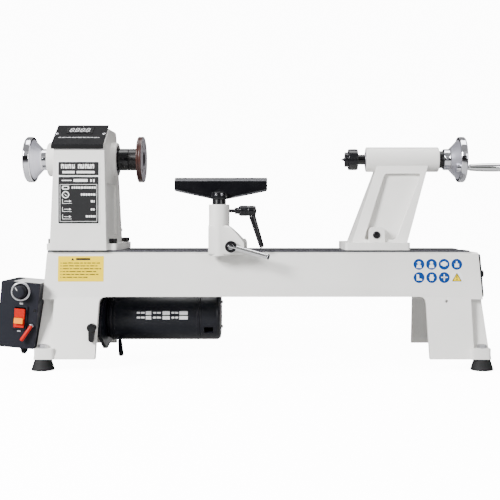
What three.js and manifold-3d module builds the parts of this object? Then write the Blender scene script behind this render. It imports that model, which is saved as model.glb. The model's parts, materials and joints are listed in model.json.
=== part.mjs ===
// Midi wood lathe: 305 mm swing, 457 mm between centres, as an assembly of separate pieces.
// Millimetres. X runs along the bed to the tailstock, Y from the front to the back, Z up.
// The origin is on the bench, under the middle of the bed and in the plane of the spindle.
import * as THREE from 'three';
import { mergeVertices } from 'three/addons/utils/BufferGeometryUtils.js';
import Module from 'manifold-3d';

const wasm = await Module();
wasm.setup();

// ---------- driving dimensions ----------
const SWING_RADIUS = 152;
const BED_TOP = 190;
const AXIS_Z = BED_TOP + SWING_RADIUS;
const HALF_LENGTH = 425;
const HALF_DEPTH = 114.5;
const GAP = 0.3;
const BEARING_SIDES = 20;
const SEAT_Z = BED_TOP + GAP;

const PAINT_TOP = 187;
const LEG_BOTTOM = 18;
const BEAM_BOTTOM = 115;
const BED_END_TOP = 349.5;
const BED_END_BOTTOM = 363;
const BED_HALF = 73.5;
const LEG_HALF = 106;
const CAST_WALL = 9;
const ARCH_HALF = 264;
const SLOT_HALF = 21;
const BEAM_CEILING = 174;

const FOOT_X = 350;
const FOOT_Y = 96;
const COVER_BOLT_Z = 151;

const HEAD_FRONT_Y = -80.5;
const HEAD_LEFT = -344;
const HEAD_RIGHT = -252;
const HEAD_TOP = 391;
const HEAD_WALL = 8;
const HEAD_BOLTS = [[-343.3, -64], [-343.3, 66], [-244.5, -60], [-244.5, 66]];
const HEAD_BOLT_R = 4;
const PANEL_PITCH = Math.atan2(36.5, 52.5);

const SPINDLE_SEAT_R = 9.7;
const NOSE_R = 12.4;
const WHEEL_R = 38.75;
const FACEPLATE_R = 39;
const FACEPLATE_FACE_X = -202.3;

const PULLEY_LEFT_X = -325;
const PULLEY_STEP = 14;
const SPINDLE_STEPS = [36, 28, 20];
const MOTOR_STEPS = [14, 22, 30];
const BELT_THICKNESS = 3;

const MOTOR_Y = 15;
const MOTOR_Z = 76;
const MOTOR_R = 41;
const PIVOT_Y = 56;
const PIVOT_Z = 100;
const LOCK_X = -271.5;
const LOCK_Z = 68;

const BOX_WIDTH = 61.5;
const BOX_HEIGHT = 105;
const BOX_FRONT_Y = -99;
const BOX_BACK_Y = -2;
const BOX_TILT = THREE.MathUtils.degToRad(5.2);
const BOX_X = -HALF_LENGTH + (BOX_WIDTH * Math.cos(BOX_TILT) + BOX_HEIGHT * Math.sin(BOX_TILT)) / 2;
const BOX_Z = 88;

const COLUMN_X = -69.5;
const COLUMN_Y = -88;
const COLUMN_R = 16.5;
const POST_R = 11;
const CAM_X = -49.8;
const CAM_Z = 197;
const LIP_BACK_Y = -84;
const REST_LOCK_Z = 254;

const BARREL_LEFT = 174;
const BARREL_RIGHT = 297;
const BARREL_R = 21;
const QUILL_R = 12.5;
const TAIL_CAM_X = 186.2;
const TAIL_CAM_Z = 214.6;
const CRANK_RADIUS = 29;
const CRANK_DROP = 14.8;

// ---------- finishes ----------
function finish(color, roughness, metalness) {
  return new THREE.MeshStandardMaterial({ color, roughness, metalness });
}

const PAINT = finish(0xe6e5e3, 0.45, 0.1);
const STEEL = finish(0x8f9094, 0.35, 0.9);
const ALUMINIUM = finish(0xc8c8cd, 0.25, 0.95);
const CHROME = finish(0xd9dadd, 0.1, 1.0);
const BLACK_IRON = finish(0x17181a, 0.5, 0.5);
const BLACK_PAINT = finish(0x14161c, 0.4, 0.3);
const BLACK_PLASTIC = finish(0x121316, 0.4, 0.0);
const RUBBER = finish(0x1a1a1b, 0.9, 0.0);
const RED_PLASTIC = finish(0xc9211a, 0.35, 0.0);
const YELLOW_PLASTIC = finish(0xf0a81c, 0.35, 0.0);
const RUSSET_IRON = finish(0x4a2a24, 0.4, 0.7);

// ---------- solids ----------
function signedVolume(position, index) {
  const a = new THREE.Vector3();
  const b = new THREE.Vector3();
  const c = new THREE.Vector3();
  let sum = 0;
  for (let i = 0; i < index.length; i += 3) {
    a.fromBufferAttribute(position, index[i]);
    b.fromBufferAttribute(position, index[i + 1]);
    c.fromBufferAttribute(position, index[i + 2]);
    sum += a.dot(b.cross(c));
  }
  return sum / 6;
}

// A closed geometry becomes a solid: shared vertices merged, slivers dropped, faces turned outward.
function solidOf(geometry) {
  const bare = geometry.clone();
  bare.deleteAttribute('normal');
  bare.deleteAttribute('uv');
  const merged = mergeVertices(bare, 1e-4);
  const source = merged.index.array;
  const kept = [];
  for (let i = 0; i < source.length; i += 3) {
    const [a, b, c] = [source[i], source[i + 1], source[i + 2]];
    if (a !== b && b !== c && c !== a) kept.push(a, b, c);
  }
  if (signedVolume(merged.attributes.position, kept) < 0) kept.reverse();
  const vertProperties = new Float32Array(merged.attributes.position.array);
  const triVerts = new Uint32Array(kept);
  return new wasm.Manifold(new wasm.Mesh({ numProp: 3, vertProperties, triVerts }));
}

function geometryOf(solid) {
  const mesh = solid.getMesh();
  const geometry = new THREE.BufferGeometry();
  geometry.setAttribute('position', new THREE.BufferAttribute(new Float32Array(mesh.vertProperties), 3));
  geometry.setIndex(new THREE.BufferAttribute(new Uint32Array(mesh.triVerts), 1));
  geometry.computeVertexNormals();
  return geometry;
}

function joined(...solids) {
  return solids.reduce((whole, next) => whole.add(next));
}

function cut(solid, ...tools) {
  return tools.reduce((left, tool) => left.subtract(tool), solid);
}

// ---------- shape helpers ----------
// An outline of [u, v] or [u, v, r] points, where r rounds that corner.
function outline(points) {
  const shape = new THREE.Shape();
  const count = points.length;
  points.forEach(([u, v, radius = 0], i) => {
    const corner = new THREE.Vector2(u, v);
    const before = new THREE.Vector2(...points[(i + count - 1) % count].slice(0, 2));
    const after = new THREE.Vector2(...points[(i + 1) % count].slice(0, 2));
    const entry = corner.clone().add(before.sub(corner).setLength(radius));
    const exit = corner.clone().add(after.sub(corner).setLength(radius));
    if (i === 0) shape.moveTo(entry.x, entry.y);
    else shape.lineTo(entry.x, entry.y);
    if (radius > 0) shape.quadraticCurveTo(corner.x, corner.y, exit.x, exit.y);
  });
  shape.closePath();
  return shape;
}

const PRISM_BASES = {
  x: [[0, 1, 0], [0, 0, 1], [1, 0, 0]],
  y: [[1, 0, 0], [0, 0, 1], [0, -1, 0]],
  z: [[1, 0, 0], [0, 1, 0], [0, 0, 1]],
};

// A prism from one station to another along an axis. Outlines are (Y, Z), (X, Z) or (X, Y).
function prism(axis, from, to, points, segments = 3) {
  const shape = points instanceof THREE.Shape ? points : outline(points);
  const geometry = new THREE.ExtrudeGeometry(shape, {
    depth: to - from, bevelEnabled: false, curveSegments: segments,
  });
  const basis = PRISM_BASES[axis].map((v) => new THREE.Vector3(...v));
  geometry.applyMatrix4(new THREE.Matrix4().makeBasis(...basis));
  const shift = { x: [from, 0, 0], y: [0, to, 0], z: [0, 0, from] }[axis];
  geometry.translate(...shift);
  return solidOf(geometry);
}

function block(low, high) {
  const geometry = new THREE.BoxGeometry(high[0] - low[0], high[1] - low[1], high[2] - low[2]);
  geometry.translate((low[0] + high[0]) / 2, (low[1] + high[1]) / 2, (low[2] + high[2]) / 2);
  return solidOf(geometry);
}

const TURN_ROTATIONS = { x: [0, 0, -Math.PI / 2], y: [0, 0, 0], z: [Math.PI / 2, 0, 0] };

// A turned piece: [radius, station] points along an axis through the centre point.
function turned(axis, centre, points, segments = 20) {
  const geometry = new THREE.LatheGeometry(points.map(([r, s]) => new THREE.Vector2(r, s)), segments);
  const [rx, , rz] = TURN_ROTATIONS[axis];
  geometry.rotateX(rx);
  geometry.rotateZ(rz);
  geometry.translate(...centre);
  return solidOf(geometry);
}

function rod(axis, centre, radius, from, to, segments = 14) {
  return turned(axis, centre, [[0, from], [radius, from], [radius, to], [0, to]], segments);
}

function tube(axis, centre, inner, outer, from, to, segments = 22) {
  const points = [[inner, from], [outer, from], [outer, to], [inner, to], [inner, from]];
  return turned(axis, centre, points, segments);
}

// A round bar with domed ends between two points, tapering from one radius to the other.
function bar(start, end, startRadius, endRadius, segments = 10) {
  const a = new THREE.Vector3(...start);
  const b = new THREE.Vector3(...end);
  const length = a.distanceTo(b);
  const points = [
    [0, -startRadius * 0.3], [startRadius * 0.75, -startRadius * 0.15], [startRadius, startRadius * 0.4],
    [endRadius, length - endRadius * 0.4], [endRadius * 0.75, length + endRadius * 0.15],
    [0, length + endRadius * 0.3],
  ];
  const geometry = new THREE.LatheGeometry(points.map(([r, s]) => new THREE.Vector2(r, s)), segments);
  const up = new THREE.Vector3(0, 1, 0);
  geometry.applyQuaternion(new THREE.Quaternion().setFromUnitVectors(up, b.clone().sub(a).normalize()));
  geometry.translate(a.x, a.y, a.z);
  return solidOf(geometry);
}

const lathe = new THREE.Group();
lathe.name = 'wood_lathe';

function place(name, solid, material, group = lathe) {
  const mesh = new THREE.Mesh(geometryOf(solid), material);
  mesh.name = name;
  group.add(mesh);
}

// ---------- bed ----------
// Half depth of the casting at a height, less an inset.
function bedSection(inset, bottom, top) {
  const atTop = BED_HALF - inset;
  const atBeam = BED_HALF + 4.5 - inset;
  const atLeg = LEG_HALF - inset;
  return [
    [-atTop + 3, top], [-atTop, top - 3], [-atBeam, BEAM_BOTTOM], [-atLeg, bottom],
    [atLeg, bottom], [atBeam, BEAM_BOTTOM], [atTop, top - 3], [atTop - 3, top],
  ];
}

function cornerPieces(make) {
  const pieces = [];
  for (const sx of [-1, 1]) {
    for (const sy of [-1, 1]) pieces.push(make(sx, sy));
  }
  return pieces;
}

function span(sign, a, b) {
  return sign < 0 ? [-b, -a] : [a, b];
}

function bedCasting() {
  const side = prism('x', -370, 370, bedSection(0, LEG_BOTTOM, PAINT_TOP));
  const front = prism('y', -120, 120, [
    [-BED_END_BOTTOM, LEG_BOTTOM], [-ARCH_HALF - 2, LEG_BOTTOM], [-ARCH_HALF, BEAM_BOTTOM, 11],
    [ARCH_HALF, BEAM_BOTTOM, 11], [ARCH_HALF + 2, LEG_BOTTOM], [BED_END_BOTTOM, LEG_BOTTOM],
    [BED_END_TOP, PAINT_TOP, 2], [-BED_END_TOP, PAINT_TOP, 2],
  ]);
  const outer = side.intersect(front);

  const innerEnd = BED_END_TOP - CAST_WALL;
  const hollow = prism('x', -370, 370, bedSection(CAST_WALL, LEG_BOTTOM - 8, BEAM_CEILING))
    .intersect(prism('y', -120, 120, [
      [-innerEnd - 13, 8], [innerEnd + 13, 8], [innerEnd, BEAM_CEILING], [-innerEnd, BEAM_CEILING],
    ]));
  const posts = cornerPieces((sx, sy) => {
    const [x0, x1] = span(sx, 325, 370);
    const [y0, y1] = span(sy, 64, 120);
    return block([x0, y0, 0], [x1, y1, BEAM_BOTTOM]);
  });
  let bed = outer.subtract(cut(hollow, ...posts));

  const niches = cornerPieces((sx, sy) => {
    const [x0, x1] = span(sx, 336.5, 380);
    const top = BEAM_BOTTOM - 4;
    return prism('x', x0, x1, [[sy * 92, 34, 3], [sy * 130, 34], [sy * 130, top], [sy * 66, top, 6]]);
  });
  bed = cut(bed, ...niches);

  const bosses = cornerPieces((sx, sy) => {
    const [x0, x1] = span(sx, 330.5, 362.5);
    const [y0, y1] = span(sy, 82, 108.5);
    return prism('z', LEG_BOTTOM, 35, [[x0, y0, 5], [x1, y0, 5], [x1, y1, 5], [x0, y1, 5]], 3);
  });
  const ways = [-1, 1].map((sy) => {
    const [y0, y1] = span(sy, SLOT_HALF, BED_HALF - 0.5);
    return prism('y', y0, y1, [[-349, 186], [338, 186], [335, BED_TOP], [-349, BED_TOP]]);
  });
  const pivotLug = block([-282, 40, 84], [-270, 67, BEAM_CEILING + 1]);
  bed = joined(bed, ...bosses, ...ways, pivotLug);

  return cut(
    bed,
    block([-230, -SLOT_HALF, 160], [342, SLOT_HALF, 200]),
    block([330, -SLOT_HALF, 150], [380, SLOT_HALF, 200]),
    block([-336, -46, 160], [-296, 50, 200]),
    rod('y', [LOCK_X, 0, LOCK_Z], 3.3, -110, -74, 16),
    rod('x', [0, PIVOT_Y, PIVOT_Z], 4.3, -300, -260, 16),
    rod('x', [0, -50, COVER_BOLT_Z], 4.3, 330, 370, 12),
    rod('y', [297, 0, 108], 2.5, -120, -60, 10),
    ...HEAD_BOLTS.map(([x, y]) => rod('z', [x, y, 0], HEAD_BOLT_R + GAP, 160, 200, 12)),
    ...cornerPieces((sx, sy) => rod('z', [sx * FOOT_X, sy * FOOT_Y, 0], 4.4, 10, 45, 12)),
  );
}

// The plate that closes the tail end of the beam, held by one large screw.
function endCoverPlate() {
  const lean = (BED_END_BOTTOM - BED_END_TOP) / (PAINT_TOP - LEG_BOTTOM);
  const face = (z) => BED_END_TOP + (PAINT_TOP - z) * lean + 0.5;
  const slab = prism('y', -72, 72, [[face(114), 114], [face(114) + 3.6, 114], [face(184) + 3.6, 184],
    [face(184), 184]]);
  const front = prism('x', 340, 370, [[-71, 114, 5], [71, 114, 5], [69, 184, 5], [-69, 184, 5]]);
  return slab.intersect(front).subtract(rod('x', [0, -50, COVER_BOLT_Z], 4.4, 340, 370, 12));
}

function endCoverBolt() {
  const points = [[0, 334], [4, 334], [4, 357.4], [6, 357.4], [6, 361.6], [5, 362.8], [0, 362.8]];
  return turned('x', [0, -50, COVER_BOLT_Z], points, 16);
}

function rubberFoot(sx, sy) {
  const points = [[0, 0], [17.4, 0], [18.4, 1.5], [13, 17.6], [4, 17.6], [4, 34], [0, 34]];
  return turned('z', [sx * FOOT_X, sy * FOOT_Y, 0], points, 18);
}

place('bed_casting', bedCasting(), PAINT);
place('end_cover_plate', endCoverPlate(), BLACK_PAINT);
place('end_cover_bolt', endCoverBolt(), BLACK_PAINT);
place('foot_front_left', rubberFoot(-1, -1), RUBBER);
place('foot_back_left', rubberFoot(-1, 1), RUBBER);
place('foot_front_right', rubberFoot(1, -1), RUBBER);
place('foot_back_right', rubberFoot(1, 1), RUBBER);

// ---------- headstock ----------
// The side view of the headstock: upright front, sloping seat for the display, leaning back.
function headSection(inset, bottom) {
  const slopeFoot = 359.4 - inset * 0.55;
  return [
    [HEAD_FRONT_Y + inset, bottom], [HEAD_FRONT_Y + inset, slopeFoot],
    [-35 + inset * 0.6, HEAD_TOP - inset], [36 - inset, HEAD_TOP - inset, 10],
    [60 - inset, 292], [74 - inset, 215], [77 - inset, bottom],
  ];
}

function headOutline(inset, bottom) {
  return [
    [HEAD_LEFT + inset, bottom], [HEAD_RIGHT - inset, bottom],
    [HEAD_RIGHT - 4 - inset, HEAD_TOP - inset + 1, 3], [HEAD_LEFT + 9 + inset, HEAD_TOP - inset + 1, 3],
  ];
}

function headstockCasting() {
  const outer = prism('x', -380, -230, headSection(0, SEAT_Z))
    .intersect(prism('y', -120, 120, headOutline(0, SEAT_Z - 1)));
  const flange = prism('z', SEAT_Z, 201, [[-351.5, -72, 5], [-236.5, -72, 5], [-236.5, 78, 5], [-351.5, 78, 5]]);
  const centre = [0, 0, AXIS_Z];
  const leftBoss = turned('x', centre, [[0, -363], [27.5, -363], [28.5, -362], [28.5, -329], [0, -329]]);
  const rightBoss = turned('x', centre, [[0, -265], [28.5, -265], [28.5, -247], [27.5, -246], [0, -246]]);
  const solid = joined(outer, flange, leftBoss, rightBoss);
  const hollow = prism('x', -380, -230, headSection(HEAD_WALL, 180))
    .intersect(prism('y', -120, 120, headOutline(HEAD_WALL, 170)));
  return cut(
    solid,
    hollow,
    rod('x', centre, 21.3, -370, -349.7, BEARING_SIDES),
    rod('x', centre, 15, -352, -320),
    rod('x', centre, 23.8, -260, -240, BEARING_SIDES),
    rod('x', centre, 17, -275, -258),
    block([-329, 18, 230], [-266, 110, 361]),
    block([-256.8, -66, 214], [-240, 22, 300]),
    ...HEAD_BOLTS.map(([x, y]) => rod('z', [x, y, 0], 7.2, 201, 218, 16)),
    ...HEAD_BOLTS.map(([x, y]) => rod('z', [x, y, 0], HEAD_BOLT_R + GAP, 180, 210, 12)),
  );
}

// The hinged door lies on the leaning back of the headstock and covers the pulley opening.
function beltDoor() {
  const section = [[75.6, 222], [78.4, 222], [62.8, 292.5], [44.6, 368], [41.8, 368], [60.4, 292]];
  const slab = prism('x', -334, -261, section);
  const hingeRoll = rod('x', [0, 78.5, 222], 3, -334, -261, 12);
  return slab.add(hingeRoll);
}

function beltDoorKnob() {
  const points = [[0, 51], [3, 51], [3, 55], [7, 57], [9, 62], [8, 68], [0, 70]];
  return turned('y', [-297.5, 0, 352], points, 16);
}

function socketBolt(x, y) {
  const points = [[0, 176], [HEAD_BOLT_R, 176], [HEAD_BOLT_R, 201.4], [6.5, 201.4], [6.5, 208.4], [5.9, 209],
    [3.2, 209], [3.2, 205], [0, 205]];
  return turned('z', [x, y, 0], points, 12);
}

// A folded sheet: the sloping display face and a short lip down the front.
function displayPanel() {
  const section = [
    [-83.5, 354], [-83.5, 361], [-31, 397.5], [-29.9, 395.9], [-81.5, 360], [-81.5, 354],
  ];
  return prism('x', -341, -257, section);
}

function displayWindow() {
  const geometry = new THREE.BoxGeometry(44, 20, 0.8);
  geometry.rotateX(PANEL_PITCH);
  const outward = new THREE.Vector3(0, -Math.sin(PANEL_PITCH), Math.cos(PANEL_PITCH));
  const centre = new THREE.Vector3(-301, -46.5, 361 + 37 * Math.tan(PANEL_PITCH));
  centre.addScaledVector(outward, 0.8);
  geometry.translate(centre.x, centre.y, centre.z);
  return solidOf(geometry);
}

place('headstock_casting', headstockCasting(), PAINT);
place('belt_door', beltDoor(), PAINT);
place('belt_door_knob', beltDoorKnob(), BLACK_PLASTIC);
HEAD_BOLTS.forEach(([x, y], i) => {
  const side = x < -300 ? 'left' : 'right';
  const row = i % 2 === 0 ? 'front' : 'back';
  place(`headstock_bolt_${row}_${side}`, socketBolt(x, y), BLACK_IRON);
});
place('display_panel', displayPanel(), BLACK_PAINT);
place('display_window', displayWindow(), BLACK_PLASTIC);
place('nameplate', block([-329, -81.6, 233.7], [-264.5, -80.8, 332.7]), BLACK_PAINT);

// ---------- spindle line ----------
const SPINDLE_CENTRE = [0, 0, AXIS_Z];

function spindle() {
  const points = [
    [5, -398], [SPINDLE_SEAT_R, -398], [SPINDLE_SEAT_R, -336], [12, -336], [12, -262], [12.2, -262],
    [12.2, -245.4], [18.5, -245.4], [18.5, -227.4], [NOSE_R, -227.4], [NOSE_R, -211], [8.9, -211],
    [5, -250], [5, -398],
  ];
  return turned('x', SPINDLE_CENTRE, points, 18);
}

function steppedPulley(centre, radii, bore) {
  const points = [[bore, PULLEY_LEFT_X]];
  radii.forEach((radius, i) => {
    const start = PULLEY_LEFT_X + i * PULLEY_STEP;
    points.push([radius + 1.2, start], [radius + 1.2, start + 1], [radius, start + 1.6]);
    points.push([radius, start + PULLEY_STEP]);
  });
  points.push([bore, PULLEY_LEFT_X + radii.length * PULLEY_STEP], [bore, PULLEY_LEFT_X]);
  return turned('x', centre, points, 16);
}

function faceplate() {
  const rim = FACEPLATE_R;
  const points = [
    [12.7, -227], [18.5, -227], [18.5, -211.5], [rim - 1, -211.5], [rim, -210.5], [rim, -208.6],
    [rim - 1.6, -208.2], [rim - 1.6, -205.6], [rim, -205.2], [rim, -203.3],
    [rim - 1, FACEPLATE_FACE_X], [12.7, FACEPLATE_FACE_X], [12.7, -227],
  ];
  const holes = [45, 135, 225, 315].map((degrees) => {
    const angle = THREE.MathUtils.degToRad(degrees);
    return rod('x', [0, 29 * Math.cos(angle), AXIS_Z + 29 * Math.sin(angle)], 2.6, -215, -200, 8);
  });
  return cut(turned('x', SPINDLE_CENTRE, points, 24), ...holes);
}

// A dished handwheel: hub, cone and thick rim. Stations run outward from the casting.
function handwheelProfile(bore, hubStart, outward) {
  const station = (s) => hubStart + outward * s;
  return [
    [bore, station(0)], [17.5, station(0)], [18, station(0.8)], [18, station(9)], [34, station(24.5)],
    [37.6, station(24.5)], [WHEEL_R, station(26)], [WHEEL_R, station(34)], [37.2, station(36)],
    [33, station(36)], [31.5, station(34)], [30.5, station(29)], [16, station(17)],
    [15, station(30)], [bore, station(30)], [bore, station(0)],
  ];
}

function spindleHandwheel() {
  return turned('x', SPINDLE_CENTRE, handwheelProfile(10, -364, -1), 24);
}

// One belt run around the middle steps, as the outline of two circles and their tangents.
function beltLoop(growth) {
  const upper = { y: 0, z: AXIS_Z, r: SPINDLE_STEPS[1] + growth };
  const lower = { y: MOTOR_Y, z: MOTOR_Z, r: MOTOR_STEPS[1] + growth };
  const distance = Math.hypot(upper.y - lower.y, upper.z - lower.z);
  const towardUpper = Math.atan2(upper.z - lower.z, upper.y - lower.y);
  const spread = Math.acos((lower.r - upper.r) / distance);
  const loop = new THREE.Path();
  loop.absarc(upper.y, upper.z, upper.r, towardUpper - spread, towardUpper + spread, false);
  loop.absarc(lower.y, lower.z, lower.r, towardUpper + spread, towardUpper - spread + 2 * Math.PI, false);
  loop.closePath();
  return loop;
}

function driveBelt() {
  const shape = new THREE.Shape(beltLoop(BELT_THICKNESS + GAP).getPoints(8));
  shape.holes.push(new THREE.Path(beltLoop(GAP).getPoints(8)));
  const middle = PULLEY_LEFT_X + 1.5 * PULLEY_STEP;
  return prism('x', middle - 4.8, middle + 4.8, shape);
}

place('spindle_bearing_left', tube('x', SPINDLE_CENTRE, 10, 21, -362.5, -350.5, BEARING_SIDES), STEEL);
place('spindle_bearing_right', tube('x', SPINDLE_CENTRE, 12.5, 23.5, -259.6, -247.6, BEARING_SIDES), STEEL);
place('spindle', spindle(), BLACK_IRON);
place('spindle_pulley', steppedPulley(SPINDLE_CENTRE, SPINDLE_STEPS, 12.3), ALUMINIUM);
place('faceplate', faceplate(), RUSSET_IRON);
place('spindle_handwheel', spindleHandwheel(), ALUMINIUM);
place('drive_belt', driveBelt(), RUBBER);

// ---------- motor ----------
const MOTOR_CENTRE = [0, MOTOR_Y, MOTOR_Z];

function motorPlate() {
  const plate = prism('x', -269.4, -263.4, [
    [-70, 52, 6], [-10, 21, 9], [50, 34, 9], [63, 70, 9], [63, 109, 9], [-20, 116, 9], [-62, 92, 9],
  ]);
  const flange = block([-281, -70, 54], [-263.4, -63, 84]);
  return cut(
    plate.add(flange),
    rod('x', MOTOR_CENTRE, 14, -290, -250),
    rod('x', [0, PIVOT_Y, PIVOT_Z], 4.3, -290, -250, 16),
  );
}

function motorPivotBolt() {
  const points = [[0, -288], [4, -288], [4, -263], [7, -263], [7, -258], [0, -258]];
  return turned('x', [0, PIVOT_Y, PIVOT_Z], points, 16);
}

// A screw through the leg that presses on the motor plate's flange, with a drop-shaped lever on its front end.
function motorLockLever() {
  const stud = rod('y', [LOCK_X, 0, LOCK_Z], 2.9, -104, -73.4, 14);
  const hub = rod('y', [LOCK_X, 0, LOCK_Z], 7, -108, -96.6, 20);
  const arm = prism('y', -106, -100, [
    [LOCK_X - 5, LOCK_Z + 2, 3], [LOCK_X - 4.6, 46, 3.5], [LOCK_X + 3.6, 44.5, 3.5], [LOCK_X + 6, LOCK_Z, 3],
  ]);
  return joined(stud, hub, arm);
}

function motorFrontBell() {
  const points = [[8.5, -263.1], [36, -263.1], [38, -261], [38, -258], [MOTOR_R, -257.5],
    [MOTOR_R, -253.3], [36.7, -253.3], [36.7, -256.5], [8.5, -256.5], [8.5, -263.1]];
  return turned('x', MOTOR_CENTRE, points, 20);
}

function motorRearBell() {
  const points = [[0, -88], [7.3, -88], [7.3, -97], [14, -97], [14, -84], [36.5, -84], [36.5, -105.7],
    [MOTOR_R, -105.7], [MOTOR_R, -78], [37, -72.5], [12, -72], [0, -72]];
  return turned('x', MOTOR_CENTRE, points, 20);
}

function motorArmature() {
  const points = [[0, -330], [7, -330], [7, -237], [31, -237], [31, -132], [10, -132], [10, -124],
    [17, -124], [17, -110], [7, -110], [7, -90], [0, -90]];
  return turned('x', MOTOR_CENTRE, points, 14);
}

place('motor_can', tube('x', MOTOR_CENTRE, 37, MOTOR_R, -253, -106, 20), BLACK_PAINT);
place('motor_front_bell', motorFrontBell(), BLACK_PAINT);
place('motor_rear_bell', motorRearBell(), BLACK_PAINT);
place('motor_armature', motorArmature(), STEEL);
place('motor_pulley', steppedPulley(MOTOR_CENTRE, MOTOR_STEPS, 7.3), ALUMINIUM);
place('motor_plate', motorPlate(), BLACK_PAINT);
place('motor_pivot_bolt', motorPivotBolt(), STEEL);
place('motor_lock_lever', motorLockLever(), BLACK_IRON);
place('tension_handle', bar([-244, 2, 35], [-238, -20, 13], 3.4, 4.3), BLACK_PAINT);

// ---------- control box ----------
// Built square at its own centre, then hung on the leaning end of the bed.
const controlBox = new THREE.Group();
controlBox.position.set(BOX_X, 0, BOX_Z);
controlBox.rotation.y = BOX_TILT;
lathe.add(controlBox);

const KNOB = [1.4, 37.5];
const SWITCH = [4, -3.7];
const TOGGLE = [24, -15];
const KEY_DROP = 4.6;

function boxHousing() {
  const w = BOX_WIDTH / 2;
  const h = BOX_HEIGHT / 2;
  const shell = prism('y', BOX_FRONT_Y + 2.8, BOX_BACK_Y, [[-w, -h, 2], [w, -h, 2], [w, h, 2], [-w, h, 2]], 2);
  const inside = block([-w + 2.5, BOX_FRONT_Y, -h + 2.5], [w - 2.5, BOX_BACK_Y - 2.5, h - 2.5]);
  return cut(shell, inside, rod('z', [0, -40, 0], 5.3, -60, -45, 16));
}

function boxPanel() {
  const w = BOX_WIDTH / 2;
  const h = BOX_HEIGHT / 2;
  const plate = prism('y', BOX_FRONT_Y, BOX_FRONT_Y + 2.5, [[-w, -h, 2], [w, -h, 2], [w, h, 2], [-w, h, 2]], 2);
  return cut(
    plate,
    rod('y', [KNOB[0], 0, KNOB[1]], 4.3, -110, -80, 16),
    block([SWITCH[0] - 10.3, -110, SWITCH[1] - 17.8], [SWITCH[0] + 10.3, -80, SWITCH[1] + 17.8]),
    rod('y', [TOGGLE[0], 0, TOGGLE[1]], 3.3, -110, -80, 12),
  );
}

function speedKnob() {
  const dial = turned('y', [KNOB[0], 0, KNOB[1]], [
    [0, -HALF_DEPTH], [8.6, -HALF_DEPTH], [9.6, -113.5], [10.8, -102.6], [4, -102.6], [4, -90], [0, -90],
  ], 20);
  const pointer = block([KNOB[0] - 1.2, -HALF_DEPTH, KNOB[1] - 9.5], [KNOB[0] + 1.2, -111, KNOB[1] + 9.5]);
  return dial.add(pointer);
}

function switchFrame() {
  const [x, z] = SWITCH;
  const bezel = block([x - 11.5, -101.5, z - 19], [x + 11.5, -99.3, z + 19]);
  const bodyShell = block([x - 10, -99.5, z - 17.5], [x + 10, -76, z + 17.5]);
  const well = block([x - 8.6, -103, z - 16.2], [x + 8.6, -78, z + 16.2]);
  return bezel.add(bodyShell).subtract(well);
}

// The paddle rocks in the frame about a pin across its middle, and a key fills its centre.
function switchPaddle() {
  const [x, z] = SWITCH;
  const rocker = prism('x', x - 8.1, x + 8.1, [
    [-104, z + 14.6], [-106.5, z + 14.6], [-103.4, z], [-104.4, z - 15.4], [-102, z - 15.4], [-88, z - 3],
    [-88, z + 3],
  ]);
  return rocker.subtract(block([x - 5.3, -120, z - KEY_DROP - 4.8], [x + 5.3, -95, z - KEY_DROP + 4.8]));
}

function safetyKey() {
  const [x, z] = SWITCH;
  const low = z - KEY_DROP - 4.4;
  const high = z - KEY_DROP + 4.4;
  const head = block([x - 7, -109, low], [x + 7, -107, high]);
  const stem = block([x - 4.9, -107.5, low], [x + 4.9, -96, high]);
  return head.add(stem);
}

// A small sleeved toggle that hangs down to the left.
function directionToggle() {
  const pin = rod('y', [TOGGLE[0], 0, TOGGLE[1]], 3, -103, -90, 12);
  const lever = bar([TOGGLE[0], -103.4, TOGGLE[1]], [TOGGLE[0] - 13, -106, TOGGLE[1] - 24], 2.9, 3.3, 12);
  return pin.add(lever);
}

function cordGland() {
  const points = [[0, -70], [3, -70], [5.2, -66], [7.5, -58], [7.5, -52.9], [5, -52.9], [5, -46], [0, -46]];
  return turned('z', [0, -40, 0], points, 20);
}

place('control_box_housing', boxHousing(), BLACK_PLASTIC, controlBox);
place('control_box_panel', boxPanel(), BLACK_PLASTIC, controlBox);
place('speed_dial_ring', tube('y', [KNOB[0], 0, KNOB[1]], 12, 15.6, -102, -99.3, 24), ALUMINIUM, controlBox);
place('speed_knob', speedKnob(), BLACK_PLASTIC, controlBox);
place('switch_frame', switchFrame(), BLACK_PLASTIC, controlBox);
place('switch_paddle', switchPaddle(), RED_PLASTIC, controlBox);
place('safety_key', safetyKey(), YELLOW_PLASTIC, controlBox);
place('direction_toggle', directionToggle(), RED_PLASTIC, controlBox);
place('cord_gland', cordGland(), BLACK_PLASTIC, controlBox);

// ---------- banjo and tool rest ----------
function banjoCasting() {
  const front = prism('y', -110, 70, [
    [-86, 180], [-29, 180], [-29, 203, 4], [-40, 217, 8], [-54, 231, 6], [-86, 231],
  ]);
  const side = prism('x', -110, -10, [
    [-104, 184, 3], [LIP_BACK_Y, 184], [LIP_BACK_Y, SEAT_Z], [62, SEAT_Z], [62, 207, 6], [-12, 208, 10],
    [-72, 231], [-104, 231, 6],
  ]);
  const column = rod('z', [COLUMN_X, COLUMN_Y, 0], COLUMN_R, 182, 264, 28);
  const hub = rod('y', [CAM_X, 0, CAM_Z], 10, -104, LIP_BACK_Y, 18);
  const behindBedFace = block([-120, LIP_BACK_Y, 170], [0, 100, SEAT_Z]);
  const solid = joined(front.intersect(side), column, hub).subtract(behindBedFace);
  return cut(
    solid,
    rod('z', [COLUMN_X, COLUMN_Y, 0], POST_R + GAP, 189, 270, 20),
    rod('y', [CAM_X, 0, CAM_Z], 5.8, -120, 80, 20),
    prism('z', 180, 215, [[CAM_X - 11, -52, 9], [CAM_X + 11, -52, 9], [CAM_X + 11, 46, 9], [CAM_X - 11, 46, 9]]),
    rod('x', [0, COLUMN_Y, REST_LOCK_Z], 3.3, -62, -45, 14),
  );
}

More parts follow.
